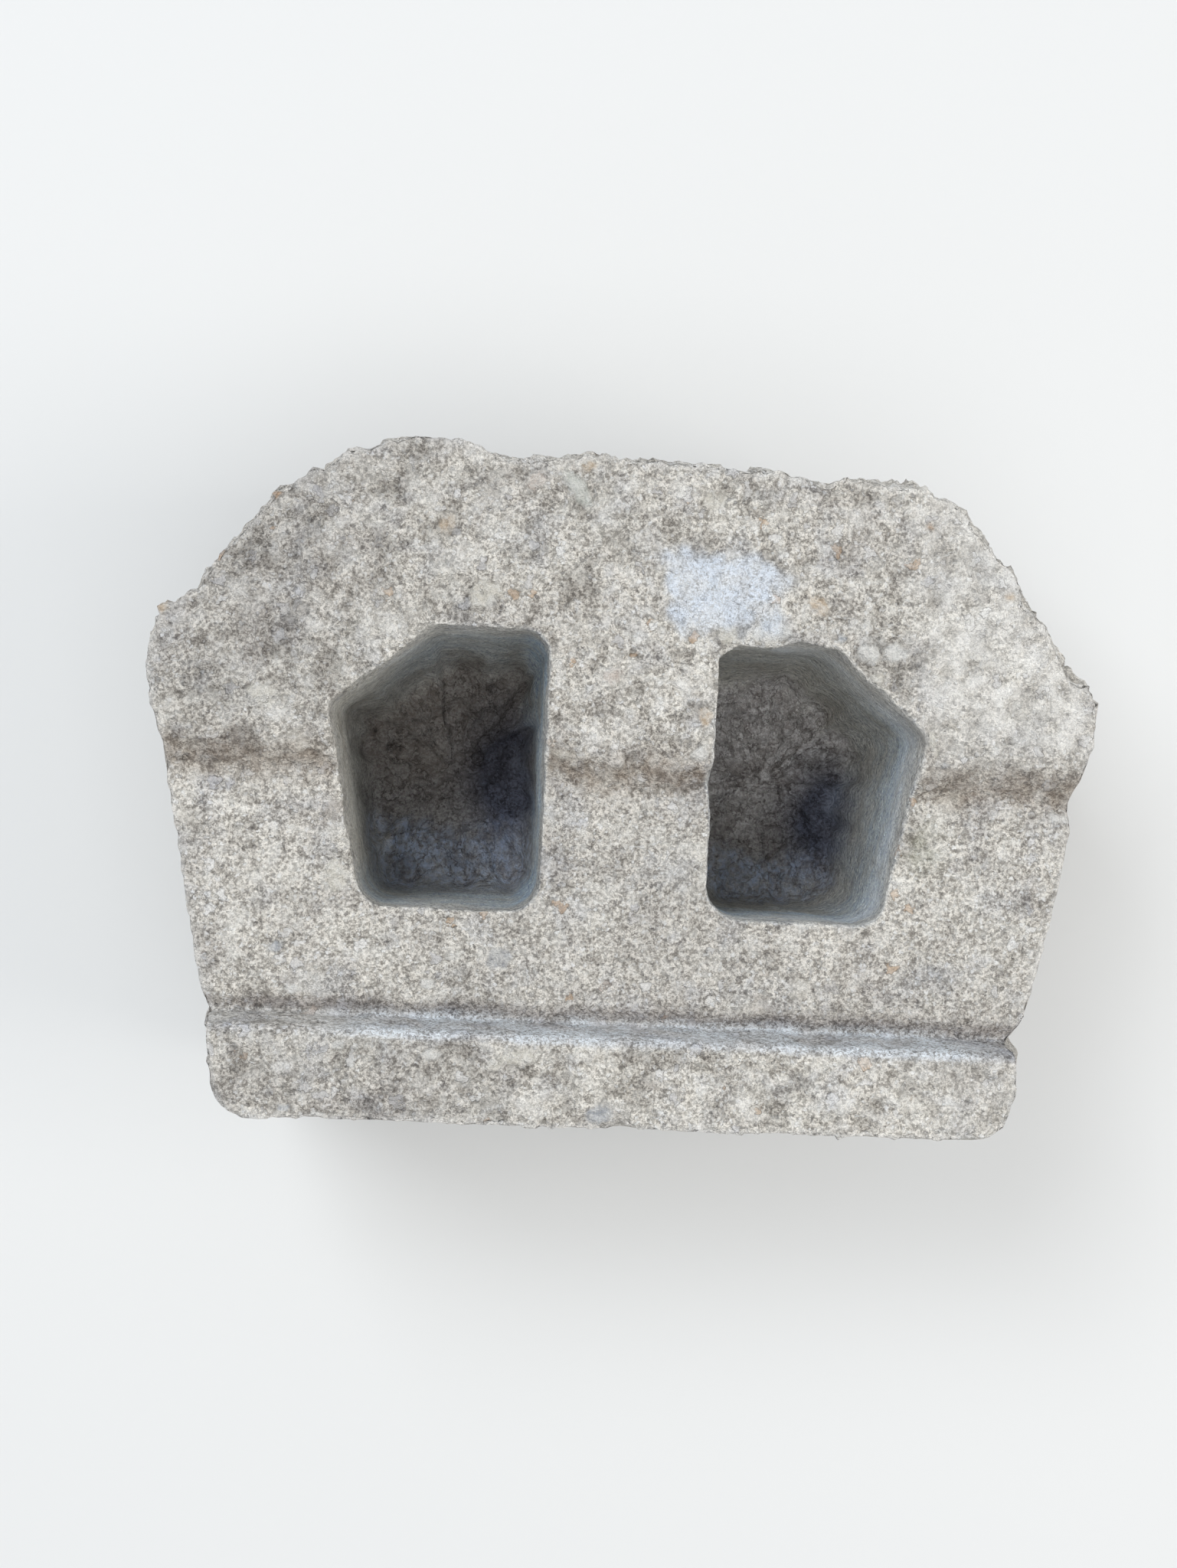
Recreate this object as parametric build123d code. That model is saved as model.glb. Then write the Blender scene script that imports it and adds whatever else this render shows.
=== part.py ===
"""A garden retaining wall block of dry-cast concrete, lying with its rear lip upwards.

One cast piece: a tapered body with a three-plane split face towards -Y, two blind pentagonal cores,
a front bed that stands a little proud, and a lip along the rear with a groove at its foot.
All sizes are in millimetres. Y is counted from the rear face until the block is centred at the end.
"""
import os
from math import copysign, cos, exp, hypot, pi, radians, sin, tan
from random import Random

from build123d import *

# Body
face_width = 290.0          # across the two arrises where the bevels of the face meet the sides
body_depth = 200.0          # from the rear face to the middle plane of the split face
course_height = 130.0       # from the base to the front bed, the height one course adds to a wall
side_taper = 11.5           # degrees that each side runs inwards towards the rear
rear_corner_radius = 11.0

# Split face
centre_width = 176.0        # middle plane of the face, between the two bevels
bevel_depth = 64.0          # how far behind the middle plane each bevel meets its side
facet_pitch = 11.5          # usual size of the flat flakes that the fracture leaves
facet_relief = 2.0          # how far flakes stand in or out of the rolling surface
facet_shift = 0.28          # how unevenly the flakes are spaced, as a share of their pitch
fracture_seed = 7           # another number breaks the face in another way
roll_height = 1.8           # slow waves of the fracture
roll_length = 118.0
roll_start_x = 0.9          # where the waves begin across the face and up it, in radians
roll_start_z = 0.4
upper_arris = [             # how far the upper edge of the face stands out, at even steps from -X to +X
    0, -3.0, -0.2, 0.9, -3.5, -2.4, -2.3, -0.7, 0.7,
    1.1, -0.5, 2.6, 3.8, -0.8, 5.5, 5.2, 3.6, 0,
]
arris_reach = 17.0          # how far down the shape of that edge fades
arris_rest = 0.3            # share of it that is left at the base

# Beds and lip, seen from the side
lip_rise = 16.5             # lip above the rear bed
lip_width = 27.0            # flat top of the lip
lip_wall_run = 3.0          # slope of the lip's inner wall, measured along Y
groove_floor = 1.2
groove_depth = 2.2
groove_run = 3.2            # worn slope from the rear bed down into the groove
rear_bed_width = 68.5
step_run = 9.0              # slope between the two beds
step_rise = 5.3             # front bed above the rear bed
lip_edge_radius = 2.0
groove_edge_radius = 1.0
step_edge_radius = 3.0

# Cores
web_width = 50.0            # stone between the two cores
core_depth = 109.0          # below the front bed
core_front_shell = 52.0     # from the middle plane of the face to the core
core_length = 84.5
core_side_wall = 51.5       # from the side of the block to the core, square to the side
core_front_width = 34.9     # front wall of the core, from the web to where its corner is cut off
core_bevel_length = 24.5    # how far back the cut corner reaches, beside the bevel of the face
core_corner_radius = 9.5
core_bevel_radius = 6.0
core_draft = 0.5            # degrees, so that the block strips from the mould
core_floor_radius = 3.0

overcut = 12.0              # how far the cutting shapes run past the block

front_bed = course_height
rear_bed = front_bed - step_rise
lip_top = rear_bed + lip_rise
arris_y = bevel_depth - body_depth
taper_slope = tan(radians(side_taper))
face_reach = max(upper_arris) + roll_height + facet_relief


def half_width(y):
    """Half of the block's width at a distance y in front of the rear face, y being negative."""
    return face_width / 2 - taper_slope * (y - arris_y)


def rounded_outline(corners):
    """A closed face through corners given as (u, v, radius)."""
    outline = make_face(Polyline(*[(u, v) for u, v, _ in corners], close=True))
    for u, v, radius in corners:
        if radius:
            outline = fillet(outline.vertices().sort_by_distance((u, v))[0], radius)
    return outline


def side_profile():
    """The block seen from the side: base, lip, groove, rear bed, step and front bed."""
    wall_top = -lip_width
    wall_foot = wall_top - lip_wall_run
    groove_near = wall_foot - groove_floor
    bed_rear_edge = groove_near - groove_run
    step_foot = bed_rear_edge - rear_bed_width
    step_crest = step_foot - step_run
    groove_bottom = rear_bed - groove_depth
    ahead = -body_depth - face_reach - overcut
    return rounded_outline([
        (0, 0, 0),
        (0, lip_top, lip_edge_radius),
        (wall_top, lip_top, lip_edge_radius),
        (wall_foot, groove_bottom, 0),
        (groove_near, groove_bottom, 0),
        (bed_rear_edge, rear_bed, groove_edge_radius),
        (step_foot, rear_bed, step_edge_radius),
        (step_crest, front_bed, step_edge_radius),
        (ahead, front_bed, 0),
        (ahead, 0, 0),
    ])


def plan_outline():
    """The tapered body from above, running on past the split face."""
    ahead = -body_depth - face_reach - overcut
    return rounded_outline([
        (-half_width(0), 0, rear_corner_radius),
        (half_width(0), 0, rear_corner_radius),
        (half_width(ahead), ahead, 0),
        (-half_width(ahead), ahead, 0),
    ])


def blank():
    """The block before its face is split off: the side profile within the plan outline."""
    across = extrude(Plane.YZ * side_profile(), amount=half_width(-body_depth) + overcut, both=True)
    upright = Pos(0, 0, -overcut) * extrude(plan_outline(), amount=lip_top + 2 * overcut)
    return across & upright


def bevel_points(shares, out, weight):
    """Columns of the +X bevel at the given shares of its length from the corner of the middle plane."""
    run = (face_width - centre_width) / 2
    return [(centre_width / 2 + run * share, bevel_depth * share - body_depth, *out, weight)
            for share in shares]


def face_columns():
    """Points along the nominal three-plane face as (x, y, out_x, out_y, weight), from -X to +X.

    The out direction is square to the face, and halfway between its planes at a corner.
    The weight is nought at the arrises, so that the fracture never changes the block's width.
    """
    run = (face_width - centre_width) / 2
    length = hypot(run, bevel_depth)
    bevel_out = (bevel_depth / length, -run / length)
    turn = hypot(bevel_out[0], bevel_out[1] - 1)
    corner_out = (bevel_out[0] / turn, (bevel_out[1] - 1) / turn)
    bevel_steps = max(2, round(length / facet_pitch))
    centre_steps = max(2, round(centre_width / facet_pitch))

    plus_side = bevel_points([0], corner_out, 1)
    plus_side += bevel_points([step / bevel_steps for step in range(1, bevel_steps)], bevel_out, 1)
    plus_side += bevel_points([1, 1 + overcut / length], bevel_out, 0)
    minus_side = [(-x, y, -out_x, out_y, weight) for x, y, out_x, out_y, weight in reversed(plus_side)]
    middle = [(centre_width * (step / centre_steps - 0.5), -body_depth, 0, -1, 1)
              for step in range(1, centre_steps)]
    return minus_side + middle + plus_side


def chance(column, row, kind):
    """A repeatable number from -1 to 1 for one corner of a flake."""
    return Random(f"{fracture_seed} {column} {row} {kind}").uniform(-1, 1)


def face_share(x):
    """How far along the three planes the nominal face is at x: nought at the -X arris, one at the +X arris."""
    run = (face_width - centre_width) / 2
    bevel = hypot(run, bevel_depth)
    way = min(abs(x), centre_width / 2) + max(abs(x) - centre_width / 2, 0) / run * bevel
    return 0.5 + copysign(way, x) / (centre_width + 2 * bevel)


def arris_stand(share):
    """How far the upper edge stands out at a share of the face's length, between the measured steps."""
    place = min(max(share, 0), 1) * (len(upper_arris) - 1)
    before = min(int(place), len(upper_arris) - 2)
    return upper_arris[before] + (place - before) * (upper_arris[before + 1] - upper_arris[before])


def relief(x, z, column, row):
    """How far the fracture stands out from the nominal face at the nominal x of a column."""
    near_top = exp(-((front_bed - z) / arris_reach) ** 2)
    across = sin(2 * pi * x / roll_length + roll_start_x)
    upwards = cos(2 * pi * z / roll_length + roll_start_z)
    own = roll_height * across * upwards + facet_relief * chance(column, row, "out")
    edge = arris_stand(face_share(x)) * (arris_rest + (1 - arris_rest) * near_top)
    return edge + (1 - near_top) * own


def fracture_points():
    """Corners of the flakes: one list of points for each row, from below the base to above the lip."""
    columns = face_columns()
    steps = max(2, round(course_height / facet_pitch))
    rows = []
    for row in range(steps + 1):
        inner = 0 < row < steps
        points = []
        for column, (x, y, out_x, out_y, weight) in enumerate(columns):
            along = weight * facet_shift * facet_pitch * chance(column, row, "along")
            up = facet_shift * facet_pitch * chance(column, row, "up") if inner and weight else 0
            z = course_height * row / steps + up
            out = weight * relief(x, z, column, row)
            points.append((x - out_y * along + out_x * out, y + out_x * along + out_y * out, z))
        rows.append(points)
    below = [(x, y, -overcut) for x, y, _ in rows[0]]
    above = [(x, y, lip_top + overcut) for x, y, _ in rows[-1]]
    return [below] + rows + [above]


def flat_piece(points):
    """A flat face through the given points."""
    return Face(Wire.make_polygon([Vector(*point) for point in points]))


def stone_behind_fracture():
    """Everything behind the broken surface, as a closed solid with one flat triangle for each flake."""
    rows = fracture_points()
    pieces = []
    for row, (lower, upper) in enumerate(zip(rows[:-1], rows[1:])):
        for column in range(len(lower) - 1):
            a, b = lower[column], lower[column + 1]
            c, d = upper[column + 1], upper[column]
            if (row + column) % 2:
                pieces += [flat_piece([a, b, c]), flat_piece([a, c, d])]
            else:
                pieces += [flat_piece([a, b, d]), flat_piece([b, c, d])]
    behind = overcut
    for ring in (rows[0], rows[-1]):
        z = ring[0][2]
        pieces.append(flat_piece(ring + [(ring[-1][0], behind, z), (ring[0][0], behind, z)]))
    for end in (0, -1):
        edge = [ring[end] for ring in rows]
        x = edge[0][0]
        pieces.append(flat_piece(edge + [(x, behind, edge[-1][2]), (x, behind, edge[0][2])]))
    low, high = rows[0][0][2], rows[-1][0][2]
    left, right = rows[0][0][0], rows[0][-1][0]
    pieces.append(flat_piece([(left, behind, low), (right, behind, low),
                              (right, behind, high), (left, behind, high)]))
    return Solid(Shell(pieces))


def core():
    """One core as a solid, on the +X side: a pentagon with its outer front corner cut off."""
    front = core_front_shell - body_depth
    rear = front + core_length
    inner = web_width / 2
    wall_across = core_side_wall / cos(radians(side_taper))

    def outer(y):
        return half_width(y) - wall_across

    bevel_rear = front + core_bevel_length
    outline = rounded_outline([
        (inner, rear, core_corner_radius),
        (inner, front, core_corner_radius),
        (inner + core_front_width, front, core_bevel_radius),
        (outer(bevel_rear), bevel_rear, core_bevel_radius),
        (outer(rear), rear, core_corner_radius),
    ])
    rim = Pos(0, 0, front_bed) * outline
    mouth = extrude(rim, amount=overcut)
    pocket = extrude(rim, amount=-core_depth, taper=core_draft)
    pocket = fillet(pocket.edges().group_by(Axis.Z)[0], core_floor_radius)
    return mouth + pocket


def retaining_block():
    """The finished block, centred over its base."""
    block = blank() & stone_behind_fracture()
    block -= core()
    block -= core().mirror(Plane.YZ)
    box = block.bounding_box()
    return Pos(-box.center().X, -box.center().Y, -box.min.Z) * block


os.makedirs("parts", exist_ok=True)
block = retaining_block().solid()
block.label = "retaining_block"
export_step(block, "parts/retaining_block.step")
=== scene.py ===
"""Looks of a dry-cast concrete retaining wall block, lying lip upwards on a pale floor.

The block is one cast piece, so there is one piece here. Its surface is a set of numpy grids that meet
edge to edge: rows round each core, a strip over the lip, a band down the outside, the cores and the base.
Shapes are worked out in millimetres, in the frame of the CAD model, and go into the mesh in metres.
"""
from itertools import product
from math import cos, hypot, pi, radians, sin, tan

import bpy
import numpy as np
from mathutils import Matrix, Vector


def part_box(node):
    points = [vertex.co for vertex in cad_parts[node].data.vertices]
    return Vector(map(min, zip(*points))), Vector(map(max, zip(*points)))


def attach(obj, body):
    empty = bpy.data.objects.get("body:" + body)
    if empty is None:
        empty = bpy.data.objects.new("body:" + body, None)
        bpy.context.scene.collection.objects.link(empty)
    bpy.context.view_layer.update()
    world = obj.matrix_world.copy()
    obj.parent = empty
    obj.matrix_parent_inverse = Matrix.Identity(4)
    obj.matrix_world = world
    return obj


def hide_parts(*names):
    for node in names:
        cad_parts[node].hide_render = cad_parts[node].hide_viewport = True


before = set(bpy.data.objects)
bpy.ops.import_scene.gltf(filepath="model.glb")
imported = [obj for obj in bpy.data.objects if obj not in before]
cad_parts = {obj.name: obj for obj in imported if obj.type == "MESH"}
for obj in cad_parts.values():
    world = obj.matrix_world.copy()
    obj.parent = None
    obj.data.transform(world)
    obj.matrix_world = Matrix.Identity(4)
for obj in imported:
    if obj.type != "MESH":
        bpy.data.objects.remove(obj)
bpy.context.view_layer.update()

# Sizes of the CAD block
half_face = 145.0
half_middle = 88.0
middle_y = -97.914
arris_y = -33.914
rear_y = 102.086
taper_degrees = 11.5
side_taper = radians(taper_degrees)
side_slope = tan(side_taper)
rear_corner_radius = 11.0
rear_corner_turn = radians(90 - taper_degrees)
front_bed = 130.0
rear_bed = 124.7
step_foot = -0.85
step_run = 9.0
lip_top = 141.2
core_floor = 21.0
core_floor_radius = 3.0
core_draft = tan(radians(0.5))
core_middle = (54.0, -4.0)

# The lip strip: where it starts, where the rear corners start to round its flat top, and how far that top is
# kept below the CAD block's highest point
strip_y = 65.0
lip_flat_end = 93.3
lip_margin = 0.75

# Wear: the rounding of the arrises, how far wear at the mouth of a core reaches down it, how far the mesh is
# kept inside the CAD block's box, how hollow the base may be, and how deep the cracks are
arris_radius = 1.1
mouth_wear_reach = 9.0
box_margin = 0.02
base_hollow = 0.6
crack_depth = 0.6

# Corners of the mouth of each core as (x, y, radius), for the +X side. The -X one is a little uneven.
plus_mouth = [(25, 38.6, 9.5), (25, -45.9, 8), (59.9, -45.9, 6), (90.4, -21.4, 5.5), (78.4, 38.8, 9.5)]
minus_mouth = [(26.2, 38.6, 11), (26.0, -45.4, 7), (61.5, -45.2, 7), (90.4, -19.6, 6), (78.6, 38.8, 9)]

# How far the upper front arris stands out from the three planes, against the way along it from the -X arris
face_arris = [
    (0, -4.6), (6, -3.9), (12, -5.2), (16, -4.2), (22, -2.5), (28, -1.0), (33, -0.8), (37.5, -1.9),
    (41, -0.2), (47, 1.3), (52, 0.9), (58, 1.2), (65, 0.5), (72, 0.9), (76.5, 0.1), (80, -3.4), (89, -4.0),
    (99, -3.1), (106, -1.5), (111.5, -0.8), (116, -2.2), (126.5, -2.3), (132, -1.2), (142, -0.8),
    (148, -0.1), (159, 0.6), (172, 0.9), (182.5, 1.0), (188.5, 1.9), (193.5, 0.5), (205, -0.6), (215, -1.1),
    (219, 1.2), (225, 2.7), (230, 3.9), (234, 4.8), (242, 4.8), (249, 2.6), (257, -0.3), (266, -0.9),
    (272, 1.2), (277, 3.4), (280, 3.4), (286, 6.4), (293.5, 5.4), (301, 5.2), (311, 5.2), (314.5, 4.0),
    (323, 3.4), (330, 3.9), (335, 6.0), (337, 5.0), (342, 3.0), (347.4, 0.0),
]
# The same for the upper arris of each side against y, and of the rear against x
plus_side_arris = [
    (-33.0, 0.2), (-26.0, 1.2), (-19.0, 1.6), (-13.0, 1.2), (-6.0, 0.3), (4.0, 0.8), (23.0, 0.5),
    (37.0, 1.0), (47.0, 0.8), (61.0, 0.7), (67.0, 0.4), (73.0, -1.2), (79.0, -0.6), (93.0, 0),
]
minus_side_arris = [
    (-33.0, -2.6), (-27.0, -1.2), (-19.0, -0.7), (-11.0, -1.0), (-6.0, -1.6), (-2.0, -2.6), (0.0, -3.2),
    (3.0, -0.9), (9.0, 0.4), (21.0, 0.6), (32.0, 0.9), (48.0, 0.6), (65.0, 0.2), (70.0, -1.6), (73.0, -4.2),
    (79.0, -2.2), (84.0, -0.5), (93.0, -0.6),
]
rear_arris = [
    (-108, -1.6), (-94, -1.4), (-79, -1.2), (-50, -1.1), (-34, -0.6), (-9, -0.8), (-5, -1.6), (-2, -2.6),
    (0.5, -1.2), (3, -0.3), (34, -0.3), (57, -0.2), (108, -0.2),
]

# Chips in the mouths as (x, y, reach, how far the rim is broken back; below nought a stone stands over it)
mouth_chips = [
    (-22.5, -3.6, 4.0, 3.2), (-40.5, -47.0, 6.5, -2.6), (-30.0, -44.5, 3.5, -1.6), (-50.0, -44.5, 4.0, 1.8),
    (-72.0, -37.5, 5.0, -1.2), (-23.0, -22.6, 4.0, -0.7), (92.5, -18.7, 3.0, 1.2), (72.0, -35.5, 5.0, -0.6),
    (86.0, 13.0, 5.0, 0.5),
]

# Single stones and spots on top as (x, y, half length, half width, turn in degrees, rise, tint)
cream, white, tan_stone, pink = (0.76, 0.72, 0.63), (0.86, 0.85, 0.82), (0.62, 0.47, 0.32), (0.64, 0.54, 0.47)
orange, blue_grey, slate = (0.60, 0.38, 0.22), (0.44, 0.47, 0.52), (0.30, 0.31, 0.34)
pale_grey = (0.60, 0.62, 0.57)
single_stones = [
    (5.8, -33.4, 3.2, 2.4, 20, 0.5, pink), (57.1, -76.5, 3.4, 2.6, 70, 0.4, tan_stone),
    (44.9, -55.8, 5.0, 4.0, 30, 0.5, cream), (110, -22.5, 4.4, 3.4, 0, 0.6, cream),
    (141, -47.4, 2.4, 2.0, 0, 0.8, tan_stone), (124.6, -64.2, 1.5, 1.1, 40, 0.5, orange),
    (108.4, -83.1, 1.8, 1.4, 50, 0.5, orange), (-28.4, -47.8, 3.4, 3.2, 0, 0.9, cream),
    (-41.5, -48.4, 5.8, 3.0, 10, 1.0, white), (-55.2, -57.5, 4.2, 2.3, -45, 0.6, tan_stone),
    (-71.4, -43.8, 3.8, 3.0, -20, 0.9, white), (-79.6, -44.2, 3.6, 2.8, 0, 0.8, white),
    (-73.9, -35.8, 2.2, 1.8, 30, 0.7, cream), (-63.1, -47.8, 1.6, 1.4, 0, 0.4, blue_grey),
    (-87.8, -83.4, 1.4, 1.2, 0, 0.4, orange), (-113.4, -62.7, 2.4, 1.6, 30, 0.5, tan_stone),
    (-21.5, -11.0, 2.8, 2.2, 0, 0.8, white), (-22.6, -22.6, 2.2, 3.0, 0, 0.4, tan_stone),
    (-92.0, -17.2, 1.2, 3.8, 15, 0.7, cream), (-95.7, -10.9, 1.2, 1.1, 0, 0.3, blue_grey),
    (20.1, -9.1, 3.8, 1.3, -10, 0.7, cream), (-132.6, 3.4, 3.6, 1.8, -15, 0.4, white),
    (85.9, 30.3, 3.6, 4.8, 10, 0.6, cream), (102.7, 52.4, 2.4, 2.2, 0, 0.2, blue_grey),
    (36.0, 53.5, 4.2, 3.6, 20, -0.2, slate), (97.1, 65.0, 3.0, 1.2, 0, 0.2, white),
    (57.1, 62.0, 2.6, 1.6, 0, 0.2, white), (82.6, 79.4, 2.4, 1.5, 0, 0.3, white),
    (54.9, 81.5, 3.4, 1.6, 0, 0.4, white), (28.8, 81.3, 5.6, 2.5, 5, 0.7, cream),
    (36.1, 83.2, 2.2, 2.2, 0, 0.6, cream), (97.4, 98.5, 2.0, 1.2, 0, 0.2, blue_grey),
    (87.3, 100.0, 2.2, 1.2, 0, 0.2, white), (4.6, 97.0, 4.6, 3.0, 0, 0.4, blue_grey),
    (18.4, -88.8, 7.0, 2.6, 130, 0.5, pale_grey), (16.2, -95.5, 2.6, 1.8, 20, 0.4, tan_stone),
    (31.2, -90.9, 3.6, 2.6, 60, 0.5, pink), (-22.6, -87.4, 3.8, 2.6, 10, 0.3, cream),
]

# Short cracks and slots as (x from, y from, x to, y to, half width)
cracks = [
    (-17.5, 0.0, -2.0, 0.3, 0.7), (-24.5, -2.5, -17.5, 0.0, 0.9), (19.5, 85.2, 31.5, 84.4, 0.6),
    (-86.5, -39.9, -78.5, -39.4, 0.8), (90.0, -18.4, 95.5, -19.6, 0.7), (2.5, 101.4, -3.5, 98.6, 1.2),
]

# How many points each run of the mesh has
middle_steps, bevel_steps, side_steps, strip_steps, web_steps = 66, 64, 64, 102, 132
bed_rows = 40
core_steps = 144
wall_rows = 38
floor_rows = 19
band_rows = 60

zone_names = ["coarse", "fine", "salted_and_sky_lit", "split", "moulded", "core_wall", "core_floor", "base"]


# Chance and relief

# Odd numbers that mix the indices of a cell and its salt, and then shifts and factors that mix the bits
cell_mixers = (0x9E3779B1, 0x85EBCA77, 0xC2B2AE3D)
salt_mixer = 0x27D4EB2F
bit_mixers = ((15, 0x2C1B3C6D), (12, 0x297A2D39), (15, 1))
ripple_gain = 1.9


def chance(cells, salt):
    """A repeatable number from 0 to 1 for each whole-numbered cell, made by mixing its three indices."""
    i, j, k = (cells[..., axis].astype(np.int64).astype(np.uint32) * np.uint32(mixer)
               for axis, mixer in enumerate(cell_mixers))
    mixed = (i ^ j ^ k) + np.uint32((salt * salt_mixer) % 2**32)
    for shift, factor in bit_mixers:
        mixed = (mixed ^ (mixed >> np.uint32(shift))) * np.uint32(factor)
    return mixed / 2**32


def three_chances(cells, salt):
    """Three repeatable numbers from 0 to 1 for each cell, one for each axis."""
    return np.stack([chance(cells, salt + axis) for axis in range(3)], -1)


def ripple(points, size, salt):
    """Smooth relief from about -1 to 1: random slopes at the corners of cubes of a size, blended between.

    The blend over a cube is six times the fifth power less fifteen times the fourth plus ten times the third.
    """
    place = points / np.asarray(size, float)
    base = np.floor(place)
    part = place - base
    blend = part**3 * (part * (part * 6 - 15) + 10)
    total = np.zeros(len(points))
    for corner in product((0, 1), repeat=3):
        slope = three_chances(base + corner, salt) * 2 - 1
        weight = np.where(np.array(corner) == 1, blend, 1 - blend).prod(-1)
        total += weight * ((part - corner) * slope).sum(-1)
    return total * ripple_gain


def rippled(grid, size, salt):
    """Ripple for points in a grid of any shape."""
    return ripple(grid.reshape(-1, 3), size, salt).reshape(grid.shape[:-1])


def layers(points, size, salt, count=2, fade=0.55):
    """Ripples of a size, half that size and so on, each weaker by the same factor."""
    return sum(fade**n * ripple(points, size / 2**n, salt + 10 * n) for n in range(count))


def scatter(points, size, salt):
    """One random point in each cube of a size: how far the nearest is, its chance, and the way from it.

    The nearest is looked for in the cube of each point and in the 26 cubes round it.
    """
    place = points / size
    base = np.floor(place)
    nearest = np.full(len(points), np.inf)
    luck = np.zeros(len(points))
    way = np.zeros((len(points), 3))
    for near in product((-1, 0, 1), repeat=3):
        cell = base + near
        apart = place - (cell + three_chances(cell, salt))
        gap = np.sqrt((apart**2).sum(-1))
        closer = gap < nearest
        nearest = np.where(closer, gap, nearest)
        luck = np.where(closer, chance(cell, salt + 5), luck)
        way[closer] = apart[closer]
    return nearest, luck, way * size


def warped(points, reach):
    """Points pushed about by half a reach times a ripple three times as long, to make outlines uneven."""
    push = np.stack([ripple(points, 3 * reach, 501 + 10 * axis) for axis in range(3)], -1)
    return points + reach * push * 0.5


def domes(points, size, salt, share, width=0.5):
    """Rounded bumps on a share of the scattered points: one minus the square of distance over width."""
    gap, luck, _ = scatter(points, size, salt)
    dome = np.clip(1 - (gap / width) ** 2, 0, 1)
    return np.where(luck < share, dome, 0) * (0.6 + 0.4 * luck / share)


def flakes(points, size, salt):
    """Flat tilted flakes round scattered points: a random height plus a random slope times the way."""
    _, luck, way = scatter(points, size, salt)
    cell = np.stack([np.floor(luck * count) for count in (4096, 997, 61)], -1)
    tilt = three_chances(cell, salt + 20) * 2 - 1
    return (luck * 2 - 1) * 0.55 + (way * tilt).sum(-1) / size * 1.1


def smooth(value, low, high):
    """From 0 at low to 1 at high, as three times the square less twice the cube."""
    share = np.clip((value - low) / (high - low), 0, 1)
    return share * share * (3 - 2 * share)


def bell(offset, width):
    """1 where the offset is nought, falling both ways as e to the minus square of offset over width."""
    return np.exp(-((offset / width) ** 2))


def mound(x, y, at_x, at_y, wide, long):
    """A bell in two directions: 1 at a place, falling off with a width along x and another along y."""
    return np.exp(-(((x - at_x) / wide) ** 2 + ((y - at_y) / long) ** 2))


def on_plan(x, y=0.0):
    """Points at height nought from their coordinates, to lay relief out on a plan or along a line."""
    return np.stack([x, y + 0 * x, 0 * x], -1)


def with_height(plan, height):
    """Points from their places on the plan and their heights."""
    return np.concatenate([plan, height[..., None]], -1)


# Outline from above

def straight_run(start, end, out, step):
    """Places at even steps from start to end, without the end, all with one outward direction."""
    count = round(hypot(end[0] - start[0], end[1] - start[1]) / step)
    share = (np.arange(count) / count)[:, None]
    return np.array(start) + share * (np.array(end) - start), np.tile(out, (count, 1))


def corner_arc(centre, first, last, step):
    """Places at even steps round a rear corner: its centre plus its radius times the outward direction."""
    count = round(rear_corner_radius * abs(last - first) / step)
    angle = first + (last - first) * np.arange(count) / count
    out = np.stack([np.cos(angle), np.sin(angle)], 1)
    return np.array(centre) + rear_corner_radius * out, out


def outline_walk():
    """The outline once round from the -X arris, as points about half a millimetre apart.

    It follows the three planes of the face, the +X side, the rear and the -X side as straight runs, with arcs
    at the two rear corners. Each point has an outward direction, averaged over the points near it with the
    weights of a bell.
    """
    step, reach, furthest = 0.5, 6, 12
    centre_y = rear_y - rear_corner_radius
    centre_x = half_face - side_slope * (centre_y - arris_y) - rear_corner_radius * hypot(1, side_slope)
    tangent_x = centre_x + rear_corner_radius * cos(side_taper)
    tangent_y = centre_y + rear_corner_radius * sin(side_taper)
    bevel = np.array([middle_y - arris_y, half_middle - half_face])
    out_x, out_y = np.abs(bevel) / hypot(*bevel)
    parts = [
        straight_run((-half_face, arris_y), (-half_middle, middle_y), (-out_x, -out_y), step),
        straight_run((-half_middle, middle_y), (half_middle, middle_y), (0, -1), step),
        straight_run((half_middle, middle_y), (half_face, arris_y), (out_x, -out_y), step),
        straight_run((half_face, arris_y), (tangent_x, tangent_y), (1, 0), step),
        corner_arc((centre_x, centre_y), side_taper, pi / 2, step),
        straight_run((centre_x, rear_y), (-centre_x, rear_y), (0, 1), step),
        corner_arc((-centre_x, centre_y), pi / 2, pi - side_taper, step),
        straight_run((-tangent_x, tangent_y), (-half_face, arris_y), (-1, 0), step),
    ]
    place, out = map(np.concatenate, zip(*parts))
    taps = np.arange(-furthest, furthest + 1)
    weights = bell(taps, reach)
    out = sum(w * np.roll(out, t, axis=0) for t, w in zip(taps, weights)) / weights.sum()
    length = np.hypot(*np.diff(place, axis=0, append=place[:1]).T)
    return np.concatenate([[0], np.cumsum(length)]), place, out


walk_way, walk_place, walk_out = outline_walk()
walk_length = walk_way[-1]
face_length = 2 * hypot(half_face - half_middle, middle_y - arris_y) + 2 * half_middle


def along_outline(way):
    """Place and outward direction at a distance along the outline, between the points of the walk."""
    way = np.mod(way, walk_length)

    def between(values):
        """Two columns of values at the way, read between those of the walk."""
        closed = np.concatenate([values, values[:1]])
        return np.stack([np.interp(way, walk_way, closed[:, 0]), np.interp(way, walk_way, closed[:, 1])], -1)

    return between(walk_place), between(walk_out)


def side_way(y):
    """Distance along the outline to the point of the +X side at y."""
    return face_length + (y - arris_y) * hypot(1, side_slope)


def on_minus_side(way):
    """Distance along the outline to the point of the -X side that mirrors one of the +X side."""
    return walk_length - (way - face_length)


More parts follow.
